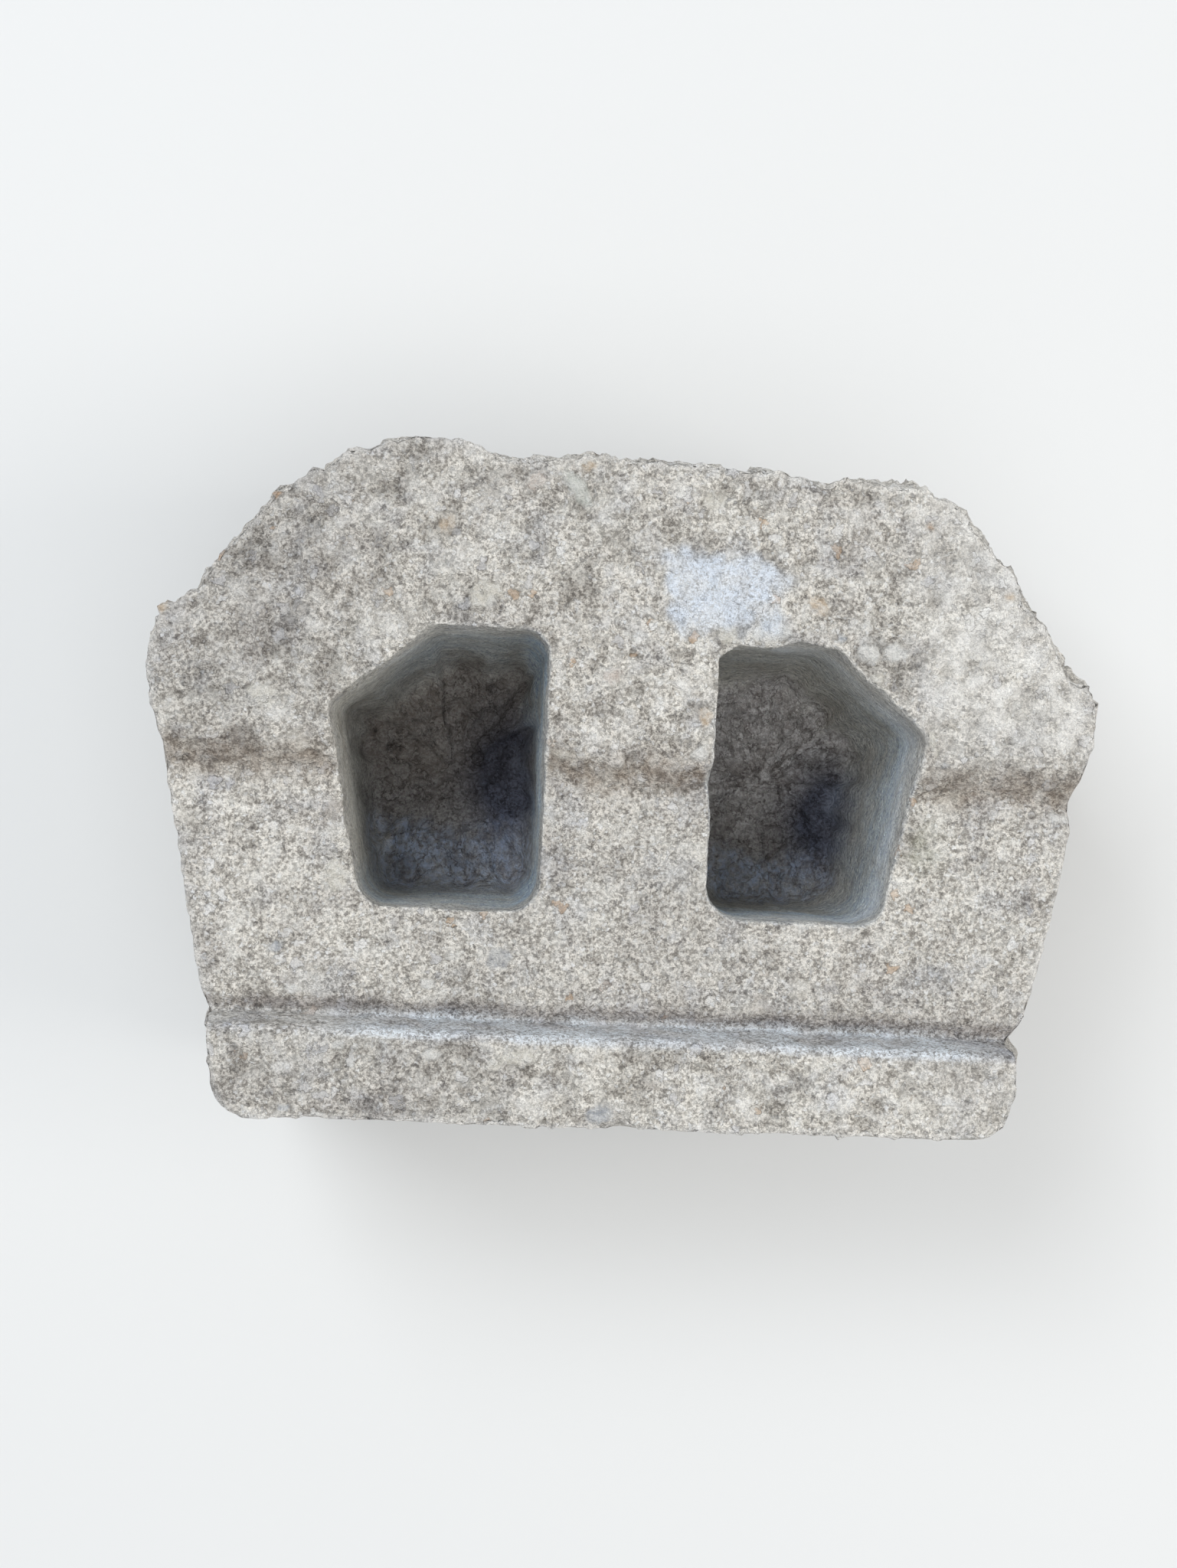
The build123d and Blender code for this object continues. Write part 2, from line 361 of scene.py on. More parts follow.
# Where the +X rear corner starts and ends along the outline, and half of the straight rear
corner_start_way = side_way(rear_y - rear_corner_radius * (1 - sin(side_taper)))
corner_end_way = corner_start_way + rear_corner_radius * rear_corner_turn
half_rear = (walk_length - face_length) / 2 - (corner_end_way - face_length)


def strip_end_way(y):
    """Distance along the outline to the end of a row of the lip strip: along the side, then the corner."""
    angle = np.arcsin(np.clip((y - rear_y + rear_corner_radius) / rear_corner_radius, -1, 1))
    round_corner = corner_start_way + rear_corner_radius * (angle - side_taper)
    return np.where(y < lip_flat_end, side_way(y), round_corner)


def arris_table():
    """All the measured offsets of the upper arris as one table of distance along the outline and offset."""
    table = list(face_arris)
    table += [(side_way(y), out) for y, out in plus_side_arris]
    table += [(corner_end_way + half_rear - x, out) for x, out in reversed(rear_arris)]
    table += [(on_minus_side(side_way(y)), out) for y, out in reversed(minus_side_arris)]
    return np.array(sorted(table)).T


arris_way, arris_step = arris_table()


def arris_out(way):
    """How far the upper arris stands out: the measured offsets and a finer ragged line of chipped grains.

    The ragged line is weaker behind the face, and fades out where the lip strip meets the beds.
    """
    way = np.mod(way, walk_length)
    measured = np.interp(way, arris_way, arris_step, period=walk_length)
    line = on_plan(way)
    ragged = 0.6 * rippled(line, 5.2, 301) + 0.75 * rippled(line, 2.7, 311)
    on_face = smooth(way, 2, 8) * smooth(way, face_length - 2, face_length - 8)
    strip_way = side_way(strip_y)
    near_strip = np.minimum(np.abs(way - strip_way), np.abs(way - on_minus_side(strip_way)))
    return measured + ragged * (0.35 + 0.65 * on_face) * smooth(near_strip, 0, 3)


def inset_from_arris(plan):
    """How far inside the upper arris each point lies, measured square to the nearest point of the walk."""
    every_second = slice(None, None, 2)
    place, out, way = walk_place[every_second], walk_out[every_second], walk_way[:-1][every_second]
    edge = place + out * arris_out(way)[:, None]
    inset = np.empty(len(plan))
    batch = 4000
    for start in range(0, len(plan), batch):
        some = plan[start:start + batch]
        apart = some[:, None] - edge[None]
        near = (apart**2).sum(-1).argmin(1)
        inset[start:start + batch] = -(apart[np.arange(len(some)), near] * out[near]).sum(-1)
    return np.clip(inset, 0, None)


def rounding(inset):
    """Drop of a rounded arris: four fifths of a quarter circle of the arris radius, nought further in."""
    left = np.clip(arris_radius - inset, 0, arris_radius)
    return 0.8 * (arris_radius - np.sqrt(arris_radius**2 - left**2))


def arris_wear(inset):
    """How worn the concrete is at a distance from an arris: 1 on it, divided by e for every 2.5 mm."""
    return np.exp(-inset / 2.5)


def mouth_wear(distance):
    """The same for the mouth of a core: 0.6 on its rim, divided by e for every 1.6 mm."""
    return 0.6 * np.exp(-distance / 1.6)


# Cores

def rounded_walk(corners):
    """A closed line through corners, each with an arc of 17 points, and 118 points on each straight run."""
    arc_points, run_points = 17, 120
    arcs = []
    for n, (x, y, radius) in enumerate(corners):
        before, after = corners[n - 1], corners[(n + 1) % len(corners)]
        corner = np.array([x, y])
        a = np.array([before[0] - x, before[1] - y], float)
        b = np.array([after[0] - x, after[1] - y], float)
        a, b = a / hypot(*a), b / hypot(*b)
        half = np.arccos(np.clip(a @ b, -1, 1)) / 2
        reach = radius / np.tan(half)
        middle = corner + (a + b) / hypot(*(a + b)) * radius / np.sin(half)
        first, last = corner + a * reach, corner + b * reach
        chord = first + np.linspace(0, 1, arc_points)[:, None] * (last - first) - middle
        arcs.append(middle + chord / np.hypot(*chord.T)[:, None] * radius)
    pieces = []
    share = np.linspace(0, 1, run_points)[1:-1, None]
    for arc, after in zip(arcs, arcs[1:] + arcs[:1]):
        pieces += [arc, arc[-1] + share * (after[0] - arc[-1])]
    return np.concatenate(pieces)


def mouth_reach(side, angle):
    """How far the nominal mouth of a core is from its middle at an angle, read off the closed line."""
    line = rounded_walk(plus_mouth if side > 0 else minus_mouth) - core_middle
    line_angle = np.arctan2(line[:, 1], line[:, 0])
    order = np.argsort(line_angle)
    return np.interp(angle, line_angle[order], np.hypot(*line.T)[order], period=2 * pi)


def core_wall(side, angle, depth):
    """Points of a core's wall: the mouth's reach, less the draft, with chips that fade out downwards.

    The chips are bells round their places on the rim. A ripple makes the rim uneven too, most of all in
    front of the -X core.
    """
    reach = mouth_reach(side, angle)
    ray = np.stack([np.cos(angle), np.sin(angle)], -1)
    rim = (core_middle + ray * reach[..., None]) * (side, 1)
    chipped = np.zeros_like(reach)
    for x, y, wide, back in mouth_chips:
        if x * side > 0:
            chipped += back * np.exp(-((rim[..., 0] - x) ** 2 + (rim[..., 1] - y) ** 2) / wide**2)
    line = on_plan(rim[..., 0], rim[..., 1])
    uneven = 0.55 * rippled(line, 6, 331) + 0.35 * rippled(line, 3, 341)
    in_front = smooth(-rim[..., 1], 20, 40) * (1 if side < 0 else 0.25)
    worn = (chipped + uneven * (0.22 + in_front)) * bell(depth, mouth_wear_reach)
    reach = reach - core_draft * depth + worn
    return (core_middle + ray * reach[..., None]) * (side, 1)


# Heights of the top

def bed_height(plan):
    """Rear bed, worn slope and front bed: a smooth rise over the step, whose line wanders a little.

    The foot of the slope is hollowed by a bell, which is deepest outside the cores.
    """
    x, y = plan[..., 0], plan[..., 1]
    line = on_plan(x)
    wander = 1.2 * rippled(line, 34, 351) + 0.5 * rippled(line, 9, 361)
    foot = step_foot + wander + 0.9 * rippled(on_plan(x, y), 6.5, 371)
    rise = smooth(-y, -foot - 0.8, step_run + 1.5 - foot)
    valley = bell(y - foot - 0.2, 3.4) * (0.25 + 1.5 * smooth(np.abs(x), 82, 97))
    return rear_bed + (front_bed - rear_bed) * rise - valley


def crumb_slopes(side, plan):
    """Broad slopes of crumbled concrete on the floor of a core: banks, a ledge, dents and slow waves.

    Banks and dents are bells and mounds, and the ledge is a steep smooth step across a slanting line.
    """
    x, y = plan[..., 0] * side, plan[..., 1]
    waves = 1.2 * rippled(on_plan(plan[..., 0], y), 21, 381)
    if side > 0:
        ledge = smooth((x - 70.6) * 0.5 - 18.4 - y + 0.8 * waves, -0.8, 0.8)
        bank = 1.6 * mound(x, y, 72, -38, 19, 17) + 1.9 * ledge + 1.6 * bell(x - 31, 9)
    else:
        bank = 3.6 * bell(x - 30, 15) + 1.8 * mound(x, y, 66, 26, 14, 15) + 2.6 * mound(x, y, 82, -5, 5, 6)
        dents = ((2.4, 47, -25, 3.4, 2.6), (2.2, 62, -29, 3.6, 3.0), (1.6, 79, 3, 5, 8))
        for depth, at_x, at_y, wide, long in dents:
            bank = bank - depth * mound(x, y, at_x, at_y, wide, long)
    return np.clip(bank + waves, -1.2, 4.6)


def lip_profile():
    """The strip seen from the side: rear bed, groove, steep inner wall, rounded edge and flat top."""
    top = lip_top - lip_margin
    corners = np.array([
        (strip_y, rear_bed), (67.0, rear_bed - 0.2), (68.4, rear_bed - 0.8), (70.4, rear_bed - 1.8),
        (71.3, rear_bed - 2.0), (71.9, rear_bed - 1.7), (72.3, rear_bed - 0.6), (74.2, top - 3.0),
        (74.8, top - 1.4), (75.8, top - 0.4), (77.5, top), (lip_flat_end, top),
    ])
    steps = (2, 2, 3, 1, 1, 1, 8, 1, 1, 1, 13)
    runs = [start + (np.arange(count) / count)[:, None] * (end - start)
            for start, end, count in zip(corners[:-1], corners[1:], steps)]
    angle = np.linspace(side_taper, pi / 2, 12)
    rear = rear_y - rear_corner_radius + rear_corner_radius * np.sin(angle)
    return np.concatenate(runs + [np.stack([rear, np.full(len(rear), top)], 1)])


def lip_strip():
    """The strip across the block: each row runs from outline to outline at the profile's y and height.

    Near the rear, a row takes on the offsets of the rear arris, and two ripples let the groove and the wall
    wander. Its ends lie on the outline, and a high power of the share of the width blends them in.
    """
    end_power = 24
    y, z = lip_profile().T
    end_way = strip_end_way(y)
    share = np.linspace(-1, 1, 2 * strip_steps + 1)
    ends = []
    for way in (end_way, on_minus_side(end_way)):
        place, out = along_outline(way)
        ends.append(place + out * arris_out(way)[:, None])
    plus_end, minus_end = ends
    width = np.where(share[None] >= 0, plus_end[:, :1], -minus_end[:, :1])
    end_y = np.where(share[None] >= 0, plus_end[:, 1:], minus_end[:, 1:])
    x = share[None] * width
    back = smooth(y, lip_flat_end - 2, rear_y)[:, None] * arris_out(corner_end_way + half_rear - x)
    line = on_plan(x)
    wander = 0.55 * rippled(line, 13, 385) + 0.45 * rippled(line, 5, 389)
    back = back + wander * (smooth(y, strip_y, strip_y + 4) * smooth(-y, -83, -78))[:, None]
    near_end = np.abs(share[None]) ** end_power
    row_y = y[:, None] + back * (1 - near_end) + (end_y - y[:, None]) * near_end
    return np.stack([x, row_y, np.broadcast_to(z[:, None], x.shape)], -1)


# Grids and how they join

class Shell:
    """Points, triangles and zones gathered from grids whose shared edges have the same points."""

    def __init__(self):
        """An empty shell."""
        self.points, self.triangles, self.zones, self.edges, self.total = [], [], [], [], 0

    def add_points(self, points, zone, edge=None):
        """Takes points of any grid shape and gives back their numbers in the same shape."""
        flat = points.reshape(-1, 3)
        weights = np.zeros((len(flat), len(zone_names)))
        for name, weight in zone.items():
            weights[:, zone_names.index(name)] = np.broadcast_to(weight, points.shape[:-1]).ravel()
        self.points.append(flat)
        self.zones.append(weights)
        self.edges.append(np.zeros(len(flat)) if edge is None else edge.ravel())
        numbers = np.arange(self.total, self.total + len(flat)).reshape(points.shape[:-1])
        self.total += len(flat)
        return numbers

    def add_triangles(self, triangles, towards):
        """Adds triangles, turned over together if they face away from the directions that towards gives."""
        a, b, c = np.concatenate(self.points)[triangles].transpose(1, 0, 2)
        facing = (np.cross(b - a, c - a) * towards(a)).sum()
        self.triangles.append(triangles if facing > 0 else triangles[:, ::-1])

    def add_grid(self, numbers, towards, closed=False):
        """Two triangles for each cell, divided along its shorter diagonal."""
        if closed:
            numbers = np.concatenate([numbers, numbers[:1]])
        a, b, c, d = (part.ravel() for part in
                      (numbers[:-1, :-1], numbers[1:, :-1], numbers[1:, 1:], numbers[:-1, 1:]))
        place = np.concatenate(self.points)
        short = ((place[a] - place[c]) ** 2).sum(-1) < ((place[b] - place[d]) ** 2).sum(-1)
        first = np.where(short[:, None], np.stack([a, b, c], 1), np.stack([a, b, d], 1))
        second = np.where(short[:, None], np.stack([a, c, d], 1), np.stack([b, c, d], 1))
        self.add_triangles(np.concatenate([first, second]), towards)

    def join_rings(self, ring, ring_at, other, other_at, towards):
        """Triangles between two closed rings with different counts: the edges of both, by their middles."""
        ring_mid, other_mid = ((at + np.append(at[1:], at[0] + 1)) / 2 for at in (ring_at, other_at))
        opposite = np.searchsorted(other_mid, ring_mid) % len(other)
        first = np.stack([ring, np.roll(ring, -1), other[opposite]], 1)
        opposite = np.searchsorted(ring_mid, other_mid, side="right") % len(ring)
        second = np.stack([other, ring[opposite], np.roll(other, -1)], 1)
        self.add_triangles(np.concatenate([first, second]), towards)

    def merged(self):
        """Points that coincide made one, with their zones averaged, and triangles with no area left out."""
        points, zones, edges = map(np.concatenate, (self.points, self.zones, self.edges))
        _, first, to = np.unique(np.round(points, 3) + 0.0, axis=0, return_index=True, return_inverse=True)
        to = to.ravel()
        count = np.bincount(to)
        shared = np.stack([np.bincount(to, column) / count for column in zones.T], 1)
        starts = np.concatenate([[0], np.cumsum(count)[:-1]])
        edge = np.maximum.reduceat(edges[np.argsort(to, kind="stable")], starts)
        triangles = to[np.concatenate(self.triangles)]
        whole = (triangles != np.roll(triangles, 1, axis=1)).all(1)
        return points[first], triangles[whole], shared, edge


def upwards(place):
    """Straight up, whatever the place."""
    return np.array([0.0, 0.0, 1.0])


def downwards(place):
    """Straight down, whatever the place."""
    return np.array([0.0, 0.0, -1.0])


def upwards_and_ahead(place):
    """Up and a little towards the face, as the lip's inner wall looks."""
    return np.array([0.0, -0.4, 1.0])


def outwards(place):
    """Level and away from the middle of the block."""
    return place * (1, 1, 0)


def into_core(side):
    """A direction that is level and towards the middle of a core."""
    return lambda place: (np.array([side * core_middle[0], core_middle[1], 0]) - place) * (1, 1, 0)


def broken_face_stand(nominal, out, z):
    """How far the block's broken face stands out from its three planes at each height of each column.

    A level ray starts behind the planes and goes outwards. It meets a triangle with corner a and edges b and
    c where its two shares along the edges are at or above nought and come to one at most. The outermost
    meeting counts.
    """
    behind, batch, tolerance, no_volume, from_edge, least_height = 15.0, 1500, 1e-4, 1e-6, 0.4, 0.5
    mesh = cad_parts["retaining_block"].data
    mesh.calc_loop_triangles()
    place = np.empty(3 * len(mesh.vertices))
    mesh.vertices.foreach_get("co", place)
    numbers = np.empty(3 * len(mesh.loop_triangles), np.int32)
    mesh.loop_triangles.foreach_get("vertices", numbers)
    corners = place.reshape(-1, 3)[numbers.reshape(-1, 3)] * 1000
    upright = np.ptp(corners[..., 2], axis=1) > least_height
    corners = corners[(corners[..., 1].max(1) < arris_y + 1) & upright]
    a = corners[:, 0]
    b, c = corners[:, 1] - a, corners[:, 2] - a
    level = np.clip(z, from_edge, front_bed - from_edge)
    start = with_height(np.broadcast_to((nominal - behind * out)[:, None], (*z.shape, 2)), level)
    ahead = np.broadcast_to(np.append(out, np.zeros((len(out), 1)), 1)[:, None], start.shape)
    start, ahead = start.reshape(-1, 3), ahead.reshape(-1, 3)
    furthest = np.full(len(start), -1.0)
    for first in range(0, len(start), batch):
        some = slice(first, first + batch)
        across = np.cross(ahead[some, None], c)
        volume = (b * across).sum(-1)
        volume = np.where(np.abs(volume) < no_volume, np.inf, volume)
        from_a = start[some, None] - a
        share_b = (from_a * across).sum(-1) / volume
        turned = np.cross(from_a, b)
        share_c = (ahead[some, None] * turned).sum(-1) / volume
        distance = (c * turned).sum(-1) / volume
        inside = (share_b > -tolerance) & (share_c > -tolerance) & (share_b + share_c < 1 + tolerance)
        furthest[some] = np.where(inside & (distance > 0), distance, -1.0).max(1)
    return np.where(furthest > 0, furthest - behind, 0).reshape(z.shape)


def build_shell():
    """All the grids of the block, joined edge to edge and merged into one closed mesh."""
    shell = Shell()
    strip, strip_numbers = add_strip(shell)
    halves = {side: add_half(shell, side, strip) for side in (1, -1)}
    ring, way = band_ring(strip_numbers, strip, halves)
    add_band_and_base(shell, ring, way)
    return shell.merged()


def add_strip(shell):
    """The strip over the lip, lowered by the rounding at the arris. Its inner wall carries salt and painted
    sky light.
    """
    strip = lip_strip()
    inset = inset_from_arris(strip[..., :2].reshape(-1, 2)).reshape(strip.shape[:2])
    strip = with_height(strip[..., :2], strip[..., 2] - rounding(inset))
    y = strip[..., 1]
    wall = smooth(y, 70.5, 71.8) * smooth(-y, -77.6, -75.2)
    top = smooth(y, 75.2, 77.6)
    zone = {"salted_and_sky_lit": wall, "coarse": top, "fine": np.clip(1 - wall - top, 0, 1)}
    numbers = shell.add_points(strip, zone, arris_wear(inset))
    shell.add_grid(numbers, upwards_and_ahead)
    return strip, numbers


def half_outline(side, strip):
    """The closed line round one half of the beds, and the way along the outline of its first part.

    It runs from the middle of the face along the outline to the lip strip, along the strip's first row to the
    middle of the block, and along the web back to the face. The heights of that first row come with it.
    """
    middle_way = face_length / 2
    bevel_length = face_length / 2 - half_middle
    middle = middle_way + side * np.linspace(0, half_middle, middle_steps + 1)[:-1]
    bevel = middle_way + side * (half_middle + np.linspace(0, bevel_length, bevel_steps + 1)[:-1])
    flank = face_length + np.linspace(0, side_way(strip_y) - face_length, side_steps + 1)[:-1]
    way = np.concatenate([middle, bevel, flank if side > 0 else on_minus_side(flank)])
    place, out = along_outline(way)
    edge = place + out * arris_out(way)[:, None]
    across = strip[0, strip_steps:][::-1] if side > 0 else strip[0, :strip_steps + 1]
    web = np.stack([np.zeros(web_steps + 1), np.linspace(strip_y, edge[0, 1], web_steps + 1)], 1)
    return np.concatenate([edge, across[:-1, :2], web[:-1]]), way, across[:-1, 2]


def add_half(shell, side, strip):
    """One half of the beds as rows from the mouth of its core to the line round it, and the core itself.

    A row is the rim plus its share of the way from the rim to the line. Its height is that of the beds, less
    the rounding at the arris and at the rim.
    """
    near_ends = np.array([0, 0.010, 0.026, 0.048])
    rows = np.concatenate([near_ends, np.linspace(0.075, 0.925, bed_rows - 9), 1 - near_ends[::-1]])
    rows = np.insert(rows, -1, 0.996)
    loop, way, across_z = half_outline(side, strip)
    relative = loop * (side, 1) - core_middle
    angle = np.arctan2(relative[:, 1], relative[:, 0])
    rim = core_wall(side, angle, np.zeros(len(angle)))
    plan = rim[:, None] + (loop - rim)[:, None] * rows[None, :, None]
    plan[:, -1] = loop
    inset = inset_from_arris(plan.reshape(-1, 2)).reshape(plan.shape[:2])
    from_rim = np.hypot(*(plan - rim[:, None]).transpose(2, 0, 1))
    height = bed_height(plan) - rounding(inset) - rounding(from_rim)
    height[len(way):len(way) + len(across_z), -1] = across_z
    grid = with_height(plan, height)
    coarse = smooth(-plan[..., 1], -2, 6)
    at_rim = bell(from_rim, 1.2)
    zone = {"coarse": coarse * (1 - at_rim), "fine": (1 - coarse) * (1 - at_rim), "core_wall": at_rim}
    numbers = shell.add_points(grid, zone, arris_wear(inset) + mouth_wear(from_rim))
    shell.add_grid(numbers, upwards, closed=True)
    add_core(shell, side, numbers[:, 0], angle, grid[:, 0])
    return numbers, way


def crumb_banks(side, near_foot):
    """How high crumbs stand at the foot of a core's wall, and how far they run in over its floor.

    The crumbs are two ripples cut off near nought. The bank runs in further at the front and rear of the +X
    core, and at the front, the outer side and the rear of the -X core.
    """
    patches = with_height(near_foot, np.zeros(len(near_foot)))
    crumbs = np.clip(2.2 + 3.0 * ripple(patches, 15, 345) + 1.6 * ripple(patches, 5, 347), 0.1, None)
    x, y = np.abs(near_foot[:, 0]), near_foot[:, 1]
    if side > 0:
        run_in = 0.8 + 4.2 * smooth(-y, 8, 38) + 0.8 * smooth(y, 22, 34)
    else:
        run_in = 0.6 + np.maximum(3.2 * smooth(x, 62, 82), 3.6 * smooth(-y, 18, 42)) + smooth(y, 22, 34)
    return crumbs, run_in


def even_angles(side):
    """Angles round a core's middle at which the points of its mouth are the same distance apart."""
    fine_steps = 4000
    angle = np.linspace(-pi, pi, fine_steps + 1)[:-1]
    line = core_wall(side, angle, np.zeros(len(angle)))
    length = np.concatenate([[0], np.cumsum(np.hypot(*np.diff(line, axis=0).T))])
    return np.interp(np.linspace(0, length[-1], core_steps + 1)[:-1], length, angle)


def add_core(shell, side, rim_numbers, rim_angle, rim_place):
    """Wall and floor of one core: rings down from the mouth, an arc at the foot, and rows to the middle.

    The wall leans in over the crumbs by an amount that falls off upwards as e to a minus power, and the floor
    falls from their height to its own as a bell, which fades to nought where the rows meet in the middle.
    """
    angle = even_angles(side)
    order = np.argsort(rim_angle)
    rim_height = np.interp(angle, rim_angle[order], rim_place[order, 2], period=2 * pi)
    middle = np.array([side * core_middle[0], core_middle[1]])
    near_foot = core_wall(side, angle, rim_height - core_floor)
    inward = (middle - near_foot) / np.hypot(*(middle - near_foot).T)[:, None]
    crumbs, run_in = crumb_banks(side, near_foot)
    heap = crumb_slopes(side, near_foot) + crumbs + 1.1 * run_in
    foot = (core_floor + core_floor_radius + heap)[:, None]

    share = np.linspace(0, 1, wall_rows + 1) ** 1.15
    share[0] = 0.008
    z = rim_height[:, None] * (1 - share) + foot * share
    plan = core_wall(side, np.broadcast_to(angle[:, None], z.shape), rim_height[:, None] - z)
    lean_height = (2.5 + crumbs + 2.6 * run_in)[:, None]
    lean = (1.2 + 0.9 * crumbs + run_in)[:, None] * np.exp(-(z - foot) / lean_height)
    plan = plan + inward[:, None] * lean[..., None]
    wall = with_height(plan, z)
    arc_in, arc_down = np.array([1.3, 2.8, 4.6]), np.array([1.0, 1.7, 2.2])
    curve = plan[:, -1:] + inward[:, None] * arc_in[None, :, None]
    curve_z = foot - arc_down
    last = curve[:, -1]
    spokes = np.linspace(1, 0, floor_rows + 1)[1:]
    floor = middle + (last - middle)[:, None] * spokes[None, :, None]
    from_wall = np.hypot(*(floor - last[:, None]).transpose(2, 0, 1))
    beside = (curve_z[:, -1] - core_floor - crumb_slopes(side, last))[:, None]
    near_wall = bell(from_wall, 8 + run_in[:, None]) * smooth(spokes, 0, 0.3)
    floor_z = core_floor + crumb_slopes(side, floor) + beside * near_wall
    lower = with_height(np.concatenate([curve, floor], 1), np.concatenate([curve_z, floor_z], 1))

    whole = np.concatenate([wall, lower], 1)
    on_floor = np.concatenate([np.zeros(wall.shape[1]), [0.3, 0.7, 1], np.ones(floor_rows)])
    worn = np.concatenate([mouth_wear(rim_height[:, None] - z), np.zeros(lower.shape[:2])], 1)
    numbers = shell.add_points(whole, {"core_floor": on_floor, "core_wall": 1 - on_floor}, worn)
    inside = into_core(side)
    shell.add_grid(numbers[:, :wall.shape[1]], inside, closed=True)
    shell.add_grid(numbers[:, wall.shape[1] - 1:], upwards, closed=True)
    turn = np.mod(rim_angle[order] + pi, 2 * pi) / (2 * pi)
    shell.join_rings(rim_numbers[order], turn, numbers[:, 0], (angle + pi) / (2 * pi), inside)


def band_ring(strip_numbers, strip, halves):
    """The closed ring of points on top of the band, and the way along the outline to each from the -X arris.

    The ring is the outer row of every grid above: the face, the +X side, one end of the strip, the rear, the
    other end and the -X side.
    """
    (plus, plus_way), (minus, minus_way) = halves[1], halves[-1]
    count = len(plus_way)
    minus, minus_way = minus[:count, -1][::-1], minus_way[::-1]
    end_way = strip_end_way(lip_profile()[:, 0])
    rear_way = corner_end_way + half_rear - strip[-1, 1:-1, 0][::-1]
    ring = np.concatenate([minus[side_steps:], plus[1:count, -1], strip_numbers[:, -1],
                           strip_numbers[-1, 1:-1][::-1], strip_numbers[::-1, 0], minus[:side_steps]])
    way = np.concatenate([minus_way[side_steps:], plus_way[1:], end_way,
                          rear_way, on_minus_side(end_way[::-1]), minus_way[:side_steps]])
    way = np.mod(way, walk_length)
    start = way.argmin()
    return np.roll(ring, -start), np.roll(way, -start)


def add_band_and_base(shell, ring, way):
    """The outside from the arris down to the base, and the base.

    Each point of the ring over the face and every second one elsewhere carries a column of the band. Its
    points stand out from the outline by the offset at the arris, which fades as a bell into the CAD block's
    own relief, less a rounding at the base.
    """
    on_side = way > face_length
    keep = np.ones(len(ring), bool)
    keep[on_side] = np.arange(on_side.sum()) % 2 == 0
    columns, top_z = way[keep], np.concatenate(shell.points)[ring[keep], 2]
    share = np.linspace(0, 1, band_rows + 1)
    fall = 0.35 * share + 0.65 * share**1.6
    z = top_z[:, None] * (1 - fall[None])
    z[:, 0] = top_z - 0.4
    depth = top_z[:, None] - z
    nominal, out = along_outline(columns)
    on_face = columns < face_length
    lower = np.zeros(z.shape)
    lower[on_face] = broken_face_stand(nominal[on_face], out[on_face], z[on_face])
    lower *= (smooth(columns, 0, 4) * smooth(-columns, -face_length, 4 - face_length))[:, None]
    arris_reach = np.where(on_face, 11.0, 7.0)[:, None]
    stand = lower + (arris_out(columns)[:, None] - lower) * bell(depth, arris_reach) - rounding(z) * 0.8
    band = with_height(nominal[:, None] + out[:, None] * stand[..., None], z)
    face = (smooth(columns, -4, 4) * smooth(columns, face_length + 4, face_length - 4))[:, None] + 0 * z
    at_top = bell(depth, 1.8)
    ahead = smooth(-nominal[:, 1:], -2, 6) * at_top
    zone = {"split": face * (1 - at_top), "moulded": (1 - face) * (1 - at_top), "coarse": ahead,
            "fine": at_top - ahead}
    numbers = shell.add_points(band, zone, arris_wear(depth) + 0.5 * np.exp(-z / 2.0))
    shell.add_grid(numbers, outwards, closed=True)
    shell.join_rings(ring, way / walk_length, numbers[:, 0], columns / walk_length, outwards)

    every_fourth = slice(None, None, 4)
    rim = band[every_fourth, -1]
    spokes = np.concatenate([[0.985, 0.95], np.linspace(0.88, 0, 11)])
    plan = rim[:, None, :2] * spokes[None, :, None]
    base_numbers = shell.add_points(with_height(plan, np.zeros(plan.shape[:2])), {"base": 1.0})
    shell.add_grid(base_numbers, downwards, closed=True)
    shell.join_rings(numbers[:, -1], columns / walk_length, base_numbers[:, 0],
                     columns[every_fourth] / walk_length, downwards)


def normals_of(points, triangles):
    """Outward directions at the points: the sum of the cross products of the triangles round each."""
    a, b, c = points[triangles].transpose(1, 0, 2)
    across = np.cross(b - a, c - a)
    total = np.stack([np.bincount(triangles.ravel(), np.repeat(across[:, axis], 3), len(points))
                      for axis in range(3)], 1)
    return total / np.maximum(np.sqrt((total**2).sum(-1, keepdims=True)), 1e-12)


# Relief of each zone

